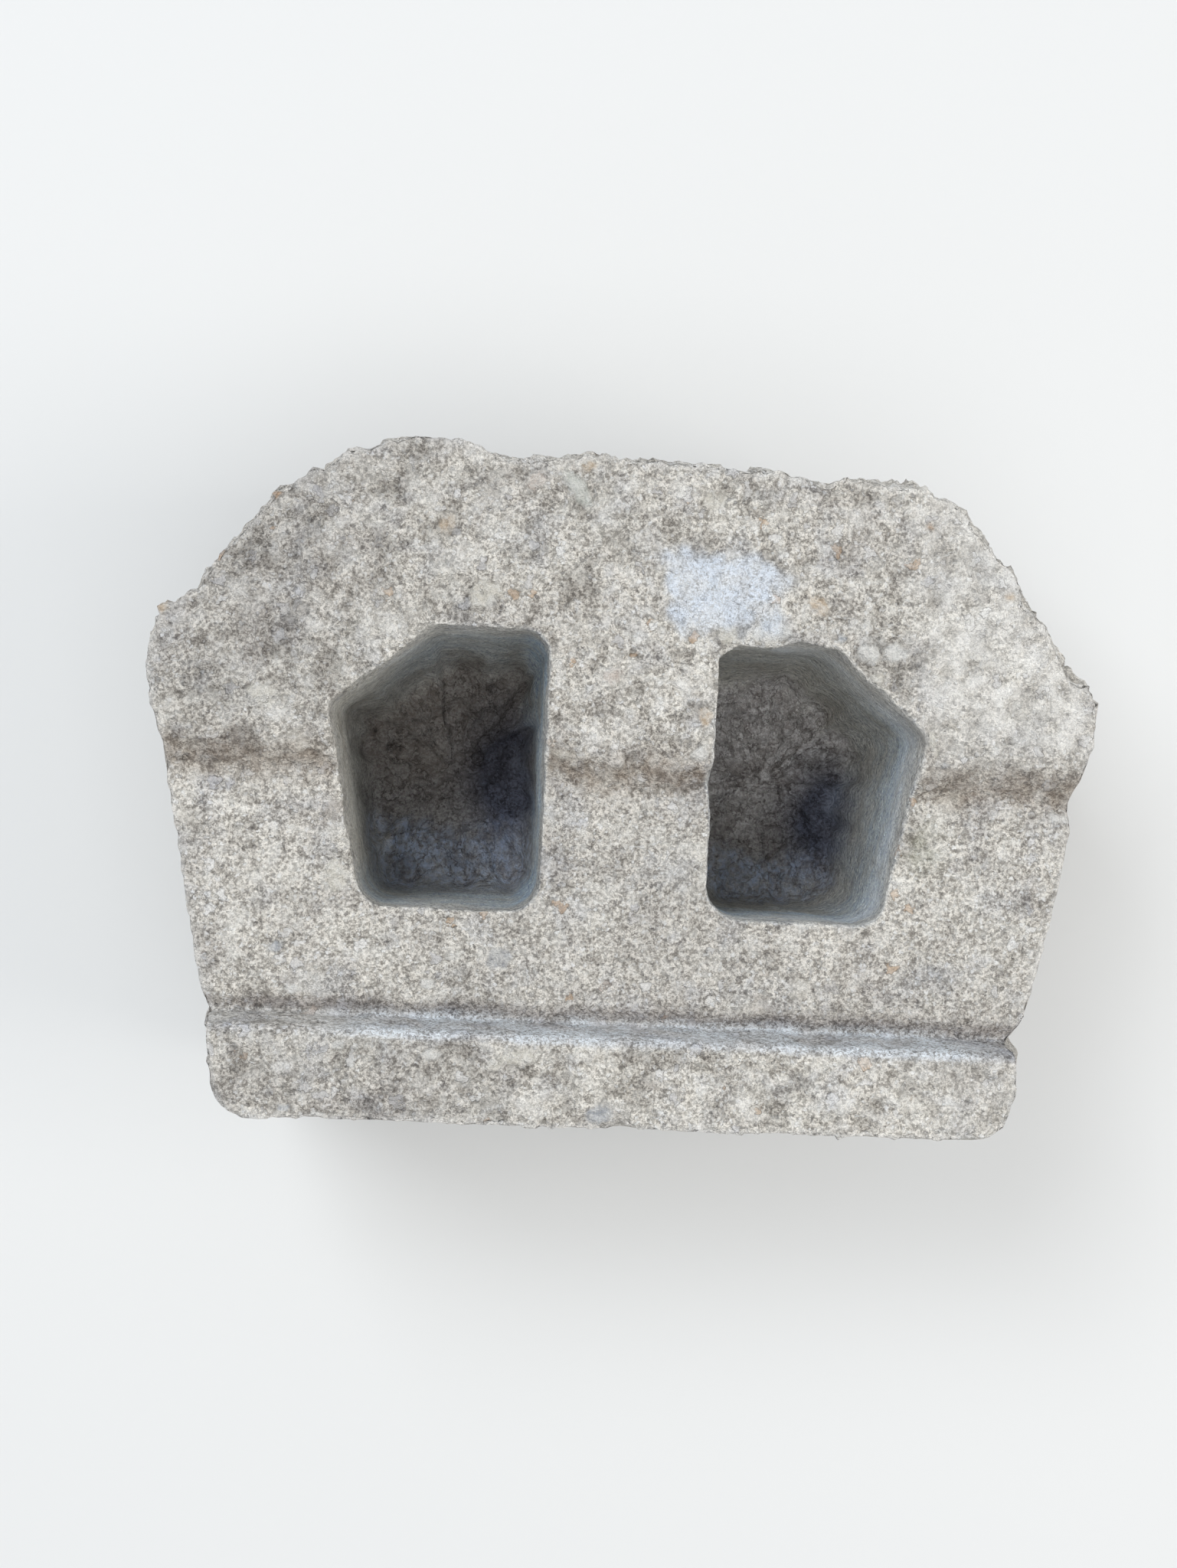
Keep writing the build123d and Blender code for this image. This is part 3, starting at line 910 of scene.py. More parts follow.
# A level, and rows of what is added to it: how it is made, how high in millimetres, how far its places are
# pushed about first, and then the size, the salt and any share and width that its maker takes
zone_rows = {
    "coarse": (-0.3, [
        (layers, 1.0, 0, 12, 11), (ripple, 0.60, 0, 4.4, 31), (ripple, 0.42, 0, 2.6, 41),
        (flakes, 0.75, 3.0, 6.4, 51), (domes, 1.05, 1.6, 4.0, 65, 0.35, 0.45),
        (domes, -1.3, 2.0, 5.0, 61, 0.2, 0.42),
    ]),
    "fine": (0, [
        (ripple, 0.26, 0, 9, 71), (ripple, 0.30, 0, 3.4, 81), (ripple, 0.30, 0, 2.5, 91),
        (domes, -0.7, 1.6, 5.0, 101, 0.12, 0.38),
    ]),
    "salted_and_sky_lit": (0, [(ripple, 0.25, 0, 6, 111), (ripple, 0.22, 0, 2.6, 121)]),
    "split": (0, [
        (flakes, 1.15, 2.6, 5.8, 141), (flakes, 1.2, 4.0, 13.0, 145), (ripple, 0.6, 0, 4.2, 151),
        (ripple, 0.4, 0, 2.5, 161), (domes, 1.3, 2.5, 9.0, 171, 0.3, 0.42),
        (domes, -1.5, 2.5, 7.0, 181, 0.25, 0.42),
    ]),
    "moulded": (-0.25, [
        (ripple, 0.30, 0, 26, 191), (ripple, 0.14, 0, (3, 3, 22), 201), (ripple, 0.14, 0, 3.0, 211),
        (domes, -0.9, 0, 8.0, 221, 0.12, 0.26),
    ]),
    "core_wall": (0, [
        (ripple, 0.45, 0, 22, 231), (ripple, 0.15, 0, (9, 9, 3), 241), (ripple, 0.22, 0, 4.2, 243),
        (flakes, 0.25, 3.0, 9.0, 245),
    ]),
    "core_floor": (0, [
        (layers, 1.0, 0, 12, 251), (ripple, 0.8, 0, 4.5, 261), (flakes, 1.1, 3.0, 7.0, 271),
        (domes, 1.2, 2.5, 8.0, 275, 0.4, 0.45),
    ]),
    "base": (-0.15, [(ripple, -0.15, 0, 20, 281)]),
}


def zone_relief(points, zones, edge):
    """How far the concrete stands out along its outward direction, in millimetres.

    It is the level and the rows of each zone times the zone's weight, less the wear at the edges, which is
    ragged by two ripples and weaker at the mouths of the cores.
    """
    weight = dict(zip(zone_names, zones.T))
    relief = np.zeros(len(points))
    for name, (level, rows) in zone_rows.items():
        picked = weight[name] > 0.01
        place = points[picked]
        amount = np.zeros(len(points))
        amount[picked] = level + sum(height * make(warped(place, reach) if reach else place, *rest)
                                     for make, height, reach, *rest in rows)
        relief += amount * weight[name]
    small_gaps, large_gaps = (np.clip(ripple(points, *own), 0, 1) for own in ((5.5, 291), (11, 295)))
    ragged = 0.45 + 0.8 * small_gaps + 0.5 * large_gaps
    return relief - edge * ragged * (1 - 0.55 * weight["core_wall"])


def beds_and_lip(points, zones):
    """Where more than a fifth is coarse or fine concrete, at the height of the beds and the lip."""
    least_share, lowest = 0.2, 110
    return (zones[:, 0] + zones[:, 1] > least_share) & (points[:, 2] > lowest)


def add_single_stones(points, zones, relief):
    """Raises the stones that show on top, as low domes on turned ellipses, and gives their tints and masks.

    A point's distance is measured in half sizes of the ellipse, with two ripples added. The mask falls from 1
    to 0 between 0.8 and 1.1, and a narrow bell at 1.15 sinks a line round the stone.
    """
    on_top = beds_and_lip(points, zones)
    tint = np.zeros((len(points), 4))
    grain = 0.22 * ripple(points, 2.6, 401) + 0.2 * ripple(points, 5.0, 405)
    for x, y, long, wide, turn, rise, colour in single_stones:
        c, s = cos(radians(turn)), sin(radians(turn))
        dx, dy = points[:, 0] - x, points[:, 1] - y
        away = np.hypot((dx * c + dy * s) / long, (dy * c - dx * s) / wide) + grain
        mask = smooth(-away, -1.1, -0.8) * on_top
        relief += mask * rise * (1 - 0.4 * np.clip(away, 0, 1) ** 2) - 0.35 * bell(away - 1.15, 0.16) * on_top
        tint[:, :3] = np.where(mask[:, None] > tint[:, 3:], colour, tint[:, :3])
        tint[:, 3] = np.maximum(tint[:, 3], mask)
    return relief, tint


def crack_mask(points, zones):
    """Nearness to the short cracks: 1 on each line, 0 from 1.3 times its half width, varied by ripples."""
    mask = np.zeros(len(points))
    bend = np.stack([ripple(points, 6, 411), ripple(points, 6, 415)], 1) * 0.8
    plan = points[:, :2] + bend
    for x0, y0, x1, y1, half in cracks:
        run = np.array([x1 - x0, y1 - y0])
        share = np.clip(((plan - (x0, y0)) @ run) / (run @ run), 0, 1)
        away = np.hypot(*(plan - (np.array([x0, y0]) + share[:, None] * run)).T)
        mask = np.maximum(mask, smooth(-away, -1.3 * half, -0.2 * half))
    return mask * beds_and_lip(points, zones) * np.clip(0.75 + 0.6 * ripple(points, 5, 431), 0.15, 1)


# Marks for the finish

def bed_marks(points, on_top, coarse, cloud, speck):
    """Dirt and painted shade along the foot of the step, lime on the front bed, and algae beside the -X core.

    The dirt and painted shade is a bell across the step, whose middle wanders, and is strongest between the
    cores and outside them. The lime is a box with smooth, ragged sides. The algae is one mound.
    """
    x, y, _ = points.T
    # Dirt and painted shade in the hollow at the foot of the step
    along_step = 0.45 + 0.60 * bell(x, 34) + 0.30 * smooth(np.abs(x), 84, 96)
    slope = bell(y - step_foot + 3.4 + 2.2 * cloud, 5.6) * along_step
    step_dirt_and_shade = on_top * np.clip(slope * (0.8 + 0.5 * speck), 0, 1)
    ragged = 6.0 * ripple(points, 11, 433) + 3.4 * speck
    across = smooth(x + ragged, -48, -40) * smooth(-x + ragged, 4, 12)
    along = smooth(y + 0.8 * ragged, -75, -67) * smooth(-y + 0.8 * ragged, 45.5, 53)
    lime = coarse * across * along * np.clip(0.85 + 0.4 * speck, 0, 1)
    algae = on_top * mound(x, y, -91, 14, 6, 7) * (0.6 + 0.6 * speck)
    return {"step_dirt_and_shade": step_dirt_and_shade, "lime": np.clip(lime, 0, 1), "algae": np.clip(algae, 0, 1)}


def lip_marks(points, on_top, salted_and_sky_lit, cloud, speck):
    """Painted shade in the groove, and salt, lime crystals and painted bluish sky light on the lip's inner
    wall.

    Each is a bell across the groove or the wall, and the crystals fade out towards both ends of the lip.
    """
    x, y, _ = points.T
    # Painted shade in the groove
    groove = bell(y - 69.4 + 0.6 * cloud, 2.7) * (0.85 + 0.3 * cloud)
    on_wall = np.maximum(salted_and_sky_lit, on_top * bell(y - 72.8, 2.8))
    ends = smooth(x, -122, -96) * smooth(-x, -94, -66)
    # Lime crystals and painted bluish sky light on the lip's inner wall
    wall_lime_and_sky_light = on_wall * np.clip(0.65 + 1.0 * cloud + 0.5 * speck, 0, 1) * ends
    # Salt and painted bluish sky light on the lip's inner wall, weaker at the +X end
    salted_and_sky_lit = np.maximum(salted_and_sky_lit, 0.5 * on_wall) * (0.5 + 0.5 * smooth(-x, -90, -64))
    return {"groove": on_top * np.clip(groove, 0, 1), "wall_lime_and_sky_light": wall_lime_and_sky_light, "salted_and_sky_lit": salted_and_sky_lit}


def core_marks(points, wall, floor, cloud, speck):
    """Films, crumbs, dust, brown soil and painted light and shade in the cores; how far walls count as wall
    or floor.

    The film of lime and painted bluish sky light grows upwards from a height of its own in each core, with a
    share for each wall by the way it faces. Near the mouth the walls show more of the paler open concrete,
    painted light that fades downwards. Soil also covers the lowest part of the walls. Dust and painted bluish
    light lie at the rear of both floors. The painted_core_shade mark is painted shade that darkens the cores
    downwards, and the side of the +X one beside the web. Two mounds are painted shadows next to the walls.
    """
    x, y, z = points.T
    plus, minus = x > 0, x < 0
    in_core = np.clip(wall + floor, 0, 1)
    beside_web = smooth(-np.abs(x), -34, -27)
    # Which walls take the lime film and painted bluish sky light, by the way they face
    plus_facing = 0.04 + 0.85 * beside_web + 0.35 * smooth(-y, 20, 44) + 0.6 * smooth(y, 24, 36)
    facing = np.where(plus, plus_facing, 1.0 - 0.75 * smooth(-y, 10, 34))
    upper = smooth(z + 9 * cloud, np.where(plus, 4, 14), np.where(plus, 70, 112))
    film_and_sky_light = wall * facing * upper * np.clip(0.75 + 0.4 * cloud + 0.3 * speck, 0, 1)
    # Painted light at the rim: below the mouth the wall's own finish fades in over the paler open concrete
    rim_light_fade = smooth(-z + 3 * cloud, -rear_bed + 4, -rear_bed + 26)
    low = smooth(-z - 12 * cloud - 6 * speck, np.where(plus, -58, -46), -22) * in_core

    off_bank = smooth(-x * 0.75 + y + 6 * cloud, 26, 60)
    crumbs = np.clip(np.where(minus, 1 - 0.8 * off_bank, 0.12) * (0.9 + 0.4 * speck), 0, 1)
    # Dust and painted bluish light at the rear of both floors
    at_rear = y + 5 * cloud + 2 * speck
    dust_and_sky_light = 1.05 * smooth(at_rear, 10, 20) * plus + 1.1 * smooth(at_rear, 14, 28) * minus
    brown = plus * smooth(-y, -12, 10) * np.clip(0.9 + 0.3 * cloud, 0, 1)
    # Painted shadows on the floors next to the inner wall of the +X core and the outer wall of the -X core
    wall_shadow_spots = mound(x, y, 33, -3, 15, 20) + mound(x, y, -75, 8, 12, 16)
    painted_floor_shadow = np.clip(1.5 * wall_shadow_spots + 0.3 * cloud * wall_shadow_spots, 0, 1) * smooth(-z, -64, -26)
    # Painted shade in the cores: darker downwards, and beside the web in the +X core
    down = -z - 8 * cloud
    minus_fall = 0.85 * smooth(down, -116, -56) * (1 - 0.8 * smooth(-y, -8, 26))
    fall = np.where(plus, 0.5 * smooth(down, -80, -28), minus_fall)
    painted_core_shade = np.maximum(fall * (1 - 0.7 * smooth(-z, -40, -22)), 0.5 * beside_web * plus)
    return {"core_wall": wall * (0.25 + 0.75 * rim_light_fade), "core_floor": np.maximum(floor, low),
            "film_and_sky_light": film_and_sky_light, "crumbs": in_core * crumbs,
            "dust_and_sky_light": in_core * np.clip(dust_and_sky_light * (0.85 + 0.6 * speck), 0, 1),
            "brown": in_core * brown, "painted_floor_shadow": in_core * painted_floor_shadow, "painted_core_shade": in_core * painted_core_shade}


def wear_marks(points, on_top, edge, wall, cloud, speck):
    """Concrete that is greyer from weathering and painted shade, and concrete paler from wear and painted
    light.

    The front bed and the lip get greyer towards +X, part weathering and part painted shade, and the rear bed
    is a little grey all over. The arrises and rims are worn and carry a painted highlight, the -X ends of the
    front bed and of the lip are worn and painted lighter, and the upper walls of the -X core are painted
    lighter.
    """
    x, y, z = points.T
    ahead, on_lip = smooth(-y, 0, 30), smooth(y, 73, 77)
    # Greyer towards +X: weathering and painted shade
    greyer = (0.42 * smooth(x, -40, 120) + 0.33 * smooth(x, 85, 118)) * ahead
    greyer = greyer + 0.38 * smooth(x, 20, 110) * on_lip + 0.20 * (1 - ahead) * (1 - on_lip)
    greyer = greyer + 0.35 * ripple(points, 60, 429) + 0.25 * cloud + 0.06
    weathering_and_shade = on_top * np.clip(greyer - 0.25 * smooth(-x, 85, 120) * ahead, 0, 1)
    from_end = -x + 8 * cloud
    # Paler towards the -X ends of the front bed and the lip: wear and painted light
    pale_end_wear_and_light = np.maximum((0.95 + 0.6 * speck) * ahead * smooth(from_end, 72, 104),
                          0.35 * on_lip * smooth(from_end, 70, 105))
    # Wear and a painted highlight on the arrises and rims
    worn = on_top * np.maximum(smooth(edge, 0.25, 0.9), pale_end_wear_and_light) * np.clip(0.8 + 0.5 * speck, 0, 1)
    # Painted bluish light on the upper walls of the -X core
    minus_core_wall_light = 0.8 * wall * (x < -45) * smooth(z + 6 * cloud, 80, 120)
    return {"weathering_and_shade": weathering_and_shade, "worn": np.maximum(worn, minus_core_wall_light)}


def surface_marks(points, zones, edge, relief):
    """Every mark. Hollows, the relief turned over, are painted shade and dirt, less on split face and
    arrises.
    """
    coarse, fine, salted_and_sky_lit, split, moulded, wall, floor, _ = zones.T
    on_top = coarse + fine
    cloud, speck = ripple(points, 14, 421), ripple(points, 4, 425)
    marks = {"split": split, "moulded": moulded}
    marks.update(bed_marks(points, on_top, coarse, cloud, speck))
    marks.update(lip_marks(points, on_top, salted_and_sky_lit, cloud, speck))
    marks.update(core_marks(points, wall, floor, cloud, speck))
    marks.update(wear_marks(points, on_top, edge, marks["core_wall"], cloud, speck))
    weaker = np.where(split > 0.5, 0.75, 1) * (1 - 0.9 * smooth(edge, 0.15, 0.7))
    # The relief turned over: painted shade and dirt in the hollows, painted light and wear on the raised
    # parts
    marks["relief_shade_and_dirt"] = np.clip(-relief / 1.2, -1, 1) * weaker
    return marks


# Finish

# Noises as (size in millimetres, detail, roughness, shift of the place, scale of the place). A small scale
# draws the pattern out.
as_it_is, aside = (0, 0, 0), (0.3, 0.7, 0.1)
noises = {
    "grit": (1.0, 3.0, 0.72, as_it_is, 1), "sand": (2.6, 3.0, 0.62, as_it_is, 1),
    "clump": (7.0, 3.0, 0.6, as_it_is, 1), "patchy": (17.0, 3.0, 0.6, as_it_is, 1),
    "cool": (12.0, 2.0, 0.55, aside, 1), "cloud": (42.0, 2.0, 0.5, as_it_is, 1),
    "drag": (1.6, 3.0, 0.6, as_it_is, (1, 1, 0.12)), "strata": (0.9, 3.0, 0.65, as_it_is, (0.25, 0.25, 1.0)),
    "creases": (8.0, 4.0, 0.62, as_it_is, 1),
}

# Cells that grains and stones sit in, as (size, size and reach of the noise that makes their outlines uneven)
cell_kinds = {"sugar": (0.8, 1.5, 3.2), "grains": (1.5, 1.5, 3.2), "chips": (4.6, 3.6, 9.0),
              "stones": (11.0, 3.6, 9.0)}

# Grains and stones as (cells, which of a cell's three chances picks them, from and to, and the distances from
# a cell's middle at which they start and are whole)
grains = {
    "dark_grain": ("grains", 0, (0.82, 0.88), (0.50, 0.25)),
    "pale_grain": ("grains", 1, (0.74, 0.88), (0.55, 0.25)),
    "pale_chip": ("chips", 0, (0.86, 0.88), (0.46, 0.34)),
    "big_stone": ("stones", 0, (0.93, 0.95), (0.36, 0.28)),
}

# Two-tone colours, each after the ones it uses: what it follows, from where to where, its two colours, and
# the layers over them. A layer is a way to lay it, what it follows, the limits of that, its strength and its
# colour. A stain darkens what is under it and leaves its grain, and a lay covers it. A strength may follow a
# noise too.
two_tones = {
    "chip_colour": ("chips_1", (0.2, 0.8), (1.0, 0.985, 0.955), (0.70, 0.685, 0.68), [
        ("lay", "chips_2", (0.88, 0.90), 1, (0.66, 0.48, 0.33)),
    ]),
    "stone_colour": ("stones_1", (0.3, 0.7), (0.90, 0.86, 0.78), (0.64, 0.59, 0.53), []),
    "crumb_colour": ("fine", (0.25, 0.8), (0.68, 0.63, 0.61), (1.0, 0.97, 0.95), []),
    "open_concrete": ("fine", (0.14, 0.86), (0.40, 0.372, 0.332), (1.0, 0.948, 0.862), [
        ("lay", "sand", (0.50, 0.64), 0.34, (0.98, 0.965, 0.915)),
        ("stain", "sand", (0.51, 0.34), 1, (0.73, 0.725, 0.72)),
        ("lay", "dark_grain", None, 0.52, (0.21, 0.195, 0.19)),
        ("lay", "pale_grain", None, 0.90, (1.0, 0.985, 0.95)),
        ("lay", "pale_chip", None, 0.72, "chip_colour"),
        ("lay", "big_stone", None, 0.55, "stone_colour"),
        ("stain", "clump", (0.50, 0.68), 1, (0.80, 0.795, 0.79)),
        ("lay", "clump", (0.48, 0.34), 0.34, (0.99, 0.97, 0.915)),
        ("stain", "patchy", (0.50, 0.68), 1, (0.87, 0.865, 0.87)),
        ("lay", "patchy", (0.46, 0.32), 0.22, (0.975, 0.945, 0.87)),
        ("stain", "cool", (0.50, 0.70), 1, (0.90, 0.915, 0.955)),
        ("stain", "cloud", (0.40, 0.70), 1, (0.955, 0.95, 0.95)),
        # Painted shade and dirt in the hollows, then painted light and wear on the raised parts
        ("stain", "relief_shade_and_dirt", (0.15, 1.3), 1, (0.66, 0.652, 0.645)),
        ("lay", "relief_shade_and_dirt", (0.0, -1.0), 0.38, (1.0, 0.98, 0.94)),
        # Wear and painted light: highlights on arrises and rims, paler -X ends, lit upper walls of the -X
        # core
        ("lay", "worn", None, 0.50, (1.0, 0.98, 0.94)),
        # Weathering and painted shade, greyer towards +X
        ("stain", "weathering_and_shade", None, 1, (0.735, 0.735, 0.745)),
    ]),
    "moulded_skin": ("fine", (0.15, 0.85), (0.50, 0.475, 0.435), (0.87, 0.835, 0.775), [
        ("stain", "drag", (0.50, 0.68), 1, (0.82, 0.81, 0.80)),
        # Painted shade and dirt in the hollows of the moulded skin
        ("stain", "relief_shade_and_dirt", (0.30, 1.2), 1, (0.60, 0.59, 0.58)),
    ]),
    # Lime film and painted bluish sky light on the core walls
    "sky_lit_film_colour": ("fine", (0.15, 0.80), (0.335, 0.45, 0.67), (0.77, 0.935, 1.0), [
        ("lay", "strata", (0.54, 0.64), 0.7, (0.90, 0.97, 1.0)),
    ]),
    "smooth_wall": ("strata", (0.36, 0.62), (0.52, 0.495, 0.435), (0.86, 0.82, 0.735), [
        ("stain", "fine", (0.45, 0.15), 1, (0.66, 0.65, 0.65)),
        ("lay", "pale_grain", None, 0.5, (0.86, 0.86, 0.85)),
        ("stain", "patchy", (0.48, 0.64), 1, (0.84, 0.82, 0.80)),
        # The lime film and painted bluish sky light on the core walls
        ("lay", "film_and_sky_light", None, 0.95, "sky_lit_film_colour"),
        # Painted light on the upper walls of the -X core, and wear at the mouths
        ("lay", "worn", None, 0.75, (0.93, 0.96, 1.0)),
    ]),
    "soil": ("fine", (0.2, 0.8), (0.22, 0.20, 0.19), (0.42, 0.395, 0.375), [
        ("lay", "brown", None, 0.60, (0.265, 0.215, 0.17)),
        ("lay", "crumbs", None, ("sand", 0.32, 0.54, 0.45, 1.0), "crumb_colour"),
        # Dust and painted bluish light at the rear of the core floors
        ("lay", "dust_and_sky_light", None, ("sand", 0.34, 0.66, 0.20, 0.85), (0.66, 0.78, 1.0)),
        ("stain", "seam", (0.040, 0.0), 1, (0.50, 0.48, 0.47)),
        ("stain", "clump", (0.48, 0.66), 1, (0.82, 0.80, 0.79)),
        # Painted shade and dirt in the hollows of the core floors
        ("stain", "relief_shade_and_dirt", (0.30, 1.6), 1, (0.62, 0.60, 0.59)),
    ]),
}

# What lies over the open concrete of the whole block, from the bottom up
block_layers = [
    ("lay", "moulded", None, 0.62, "moulded_skin"),
    ("lay", "stone_mask", None, 0.66, "speckled_stone"),
    # Dirt and painted shade along the foot of the step
    ("stain", "step_dirt_and_shade", None, 1, (0.57, 0.51, 0.46)),
    ("lay", "step_dirt_and_shade", None, ("sand", 0.58, 0.38, 0.0, 0.45), (0.25, 0.20, 0.16)),
    # Painted shade in the groove in front of the lip
    ("stain", "groove", None, 1, (0.55, 0.525, 0.53)),
    ("lay", "lime", None, ("fine", 0.10, 0.60, 0.45, 0.95), (0.84, 0.905, 1.0)),
    # Salt and painted bluish sky light: a blue cast on the lip's inner wall
    ("stain", "salted_and_sky_lit", None, 1, (0.88, 0.91, 0.99)),
    # Lime crystals, brightened with painted sky light
    ("lay", "wall_lime_and_sky_light", None, ("fine", 0.32, 0.60, 0.20, 1.0), (0.89, 0.945, 1.0)),
    ("lay", "algae", None, 0.55, (0.24, 0.25, 0.16)),
    ("lay", "crack", None, 0.60, (0.10, 0.085, 0.065)),
    ("lay", "core_wall", None, 0.90, "smooth_wall"),
    ("lay", "core_floor", None, 0.92, "soil"),
    # Painted shade, darker deeper in the cores
    ("stain", "painted_core_shade", None, 1, (0.74, 0.735, 0.73)),
    # Painted bluish shadows on the core floors next to the walls
    ("stain", "painted_floor_shadow", None, 1, (0.34, 0.39, 0.54)),
]
stone_speckles = [("lay", "sand", (0.36, 0.62, 0.0, 0.5), 1, (0.80, 0.79, 0.75))]

# How much each texture adds to the height of the fine bumps, which are lower in the cores by a share, and
# what two of the zones add besides. The bumps are as high as this times their reach, in metres.
bump_heights = [("sand", 1.2), ("grit", 0.70), ("dark_grain", -0.45), ("pale_grain", 0.25),
                ("pale_chip", 0.6), ("clump", 2.2), ("sugar_distance", -0.45)]
core_bump_loss = 0.30
zone_bumps = [("core_wall", "strata", 0.7), ("moulded", "drag", 0.35)]
bump_reach = 0.0012


class Finish:
    """The nodes of one material, with its textures and colours under their names."""

    def __init__(self, name):
        """An empty material whose patterns follow Object coordinates."""
        self.material = bpy.data.materials.new(name)
        self.material.use_nodes = True
        self.nodes = self.material.node_tree.nodes
        self.nodes.clear()
        self.place = self.add("TexCoord").outputs["Object"]
        self.named = {}

    def add(self, kind, feeds=None, **settings):
        """A shader node with its settings, and its sockets given numbers, colours or links."""
        made = self.nodes.new("ShaderNode" + kind)
        for name, value in settings.items():
            setattr(made, name, value)
        for key, feed in (feeds or {}).items():
            if isinstance(feed, bpy.types.NodeSocket):
                made.id_data.links.new(feed, made.inputs[key])
            else:
                made.inputs[key].default_value = feed
        return made

    def follow(self, name):
        """The texture or colour of a name, or else the mark of that name on the mesh."""
        if name not in self.named:
            self.named[name] = self.add("Attribute", attribute_name=name).outputs["Fac"]
        return self.named[name]

    def reckon(self, way, first, second):
        """One number from two, by a sum, a difference or a product, or the size of the first."""
        return self.add("Math", {0: first, 1: second}, operation=way).outputs[0]

    def spread(self, name, low, high, to_low=0.0, to_high=1.0):
        """What a name stands for, stretched smoothly from one range to another and held at its ends."""
        return self.add("MapRange", {0: self.follow(name), 1: low, 2: high, 3: to_low, 4: to_high},
                        interpolation_type="SMOOTHSTEP").outputs[0]

    def blend(self, share, under, over, way="MIX"):
        """One colour laid over another by a share."""
        return self.add("Mix", {0: share, 6: under, 7: over}, data_type="RGBA", blend_type=way).outputs[2]

    def layered(self, colour, layers_over):
        """A colour with layers over it, each by its share times its strength: stains multiply, lays cover."""
        for way, name, limits, strength, over in layers_over:
            share = self.spread(name, *limits) if limits else self.follow(name)
            if strength != 1:
                strength = self.spread(*strength) if isinstance(strength, tuple) else strength
                share = self.reckon("MULTIPLY", share, strength)
            over = self.named[over] if isinstance(over, str) else (*over, 1)
            colour = self.blend(share, colour, over, "MULTIPLY" if way == "stain" else "MIX")
        return colour

    def noise(self, size, detail, rough, where, output="Fac"):
        """A noise of a size in millimetres at a place."""
        return self.add("TexNoise", {"Vector": where, "Scale": 1000 / size, "Detail": detail,
                                     "Roughness": rough}).outputs[output]

    def uneven_place(self, size, reach):
        """The place pushed about by a noise, so that cells laid out on it get broken outlines."""
        pattern = self.noise(size, 3.0, 0.6, self.place, "Color")
        push = self.add("VectorMath", {0: pattern, 1: (0.5, 0.5, 0.5)}, operation="SUBTRACT").outputs[0]
        scaled = self.add("VectorMath", {0: push, "Scale": reach / 1000}, operation="SCALE").outputs[0]
        return self.add("VectorMath", {0: self.place, 1: scaled}, operation="ADD").outputs[0]


def add_noises(finish):
    """All the noises by name. A seam is how far the creases are from their middle value."""
    for name, (size, detail, rough, start, scale) in noises.items():
        where = finish.place
        if start != as_it_is:
            where = finish.add("Mapping", {"Vector": where, "Location": start}).outputs[0]
        if scale != 1:
            where = finish.add("Mapping", {"Vector": where, "Scale": scale}).outputs[0]
        finish.named[name] = finish.noise(size, detail, rough, where)
    from_middle = finish.reckon("SUBTRACT", finish.named["creases"], 0.5)
    finish.named["seam"] = finish.reckon("ABSOLUTE", from_middle, 0.0)


def add_grains(finish):
    """Cells, their chances, the grains and stones in them, and the fine grain of all the concrete.

    A grain is the product of its chance and its distance, each spread smoothly. The fine grain is 0.55 of the
    spread grit and 0.45 of the chance of the smallest cells.
    """
    for name, (size, uneven_size, reach) in cell_kinds.items():
        made = finish.add("TexVoronoi", {"Vector": finish.uneven_place(uneven_size, reach),
                                         "Scale": 1000 / size}).outputs
        chances = finish.add("SeparateColor", {0: made["Color"]}).outputs
        finish.named[name + "_distance"] = made["Distance"]
        for channel in range(3):
            finish.named[f"{name}_{channel}"] = chances[channel]
    for name, (cell, channel, luck, distance) in grains.items():
        finish.named[name] = finish.reckon("MULTIPLY", finish.spread(f"{cell}_{channel}", *luck),
                                           finish.spread(cell + "_distance", *distance))
    grit = finish.reckon("MULTIPLY", finish.spread("grit", 0.40, 0.60), 0.55)
    sugar = finish.reckon("MULTIPLY", finish.named["sugar_0"], 0.45)
    finish.named["fine"] = finish.reckon("ADD", grit, sugar)


def bump_normal(finish):
    """The fine bumps: the sum of the textures times their heights, and what the zones add."""
    def rise(under, texture, amount):
        """A height with a texture added by an amount."""
        return finish.reckon("ADD", under, finish.reckon("MULTIPLY", texture, amount))

    height = 0.0
    for name, amount in bump_heights:
        height = rise(height, finish.named[name], amount)
    loss = finish.reckon("MULTIPLY", finish.follow("core_wall"), core_bump_loss)
    height = finish.reckon("MULTIPLY", height, finish.reckon("SUBTRACT", 1.0, loss))
    for zone, texture, amount in zone_bumps:
        height = rise(height, finish.reckon("MULTIPLY", finish.follow(zone), finish.named[texture]), amount)
    return finish.add("Bump", {"Height": height, "Distance": bump_reach, "Strength": 1.0}).outputs["Normal"]


def dry_cast_concrete():
    """Sandy grey-beige concrete: grains, stones, pits, dirt and lime, each at its real size, and painted
    light and shade.
    """
    finish = Finish("dry_cast_concrete")
    add_noises(finish)
    add_grains(finish)
    for name, (follows, limits, low, high, layers_over) in two_tones.items():
        tones = finish.blend(finish.spread(follows, *limits), (*low, 1), (*high, 1))
        finish.named[name] = finish.layered(tones, layers_over)
    stone_tint = finish.add("Attribute", attribute_name="stone_tint").outputs
    finish.named["stone_mask"] = stone_tint["Alpha"]
    finish.named["speckled_stone"] = finish.layered(stone_tint["Color"], stone_speckles)
    shader = finish.add("BsdfPrincipled", {
        "Base Color": finish.layered(finish.named["open_concrete"], block_layers),
        "Roughness": finish.spread("sand", 0.3, 0.7, 0.97, 0.88),
        "Normal": bump_normal(finish), "Specular IOR Level": 0.2,
    })
    finish.add("OutputMaterial", {"Surface": shader.outputs[0]})
    return finish.material


# The piece

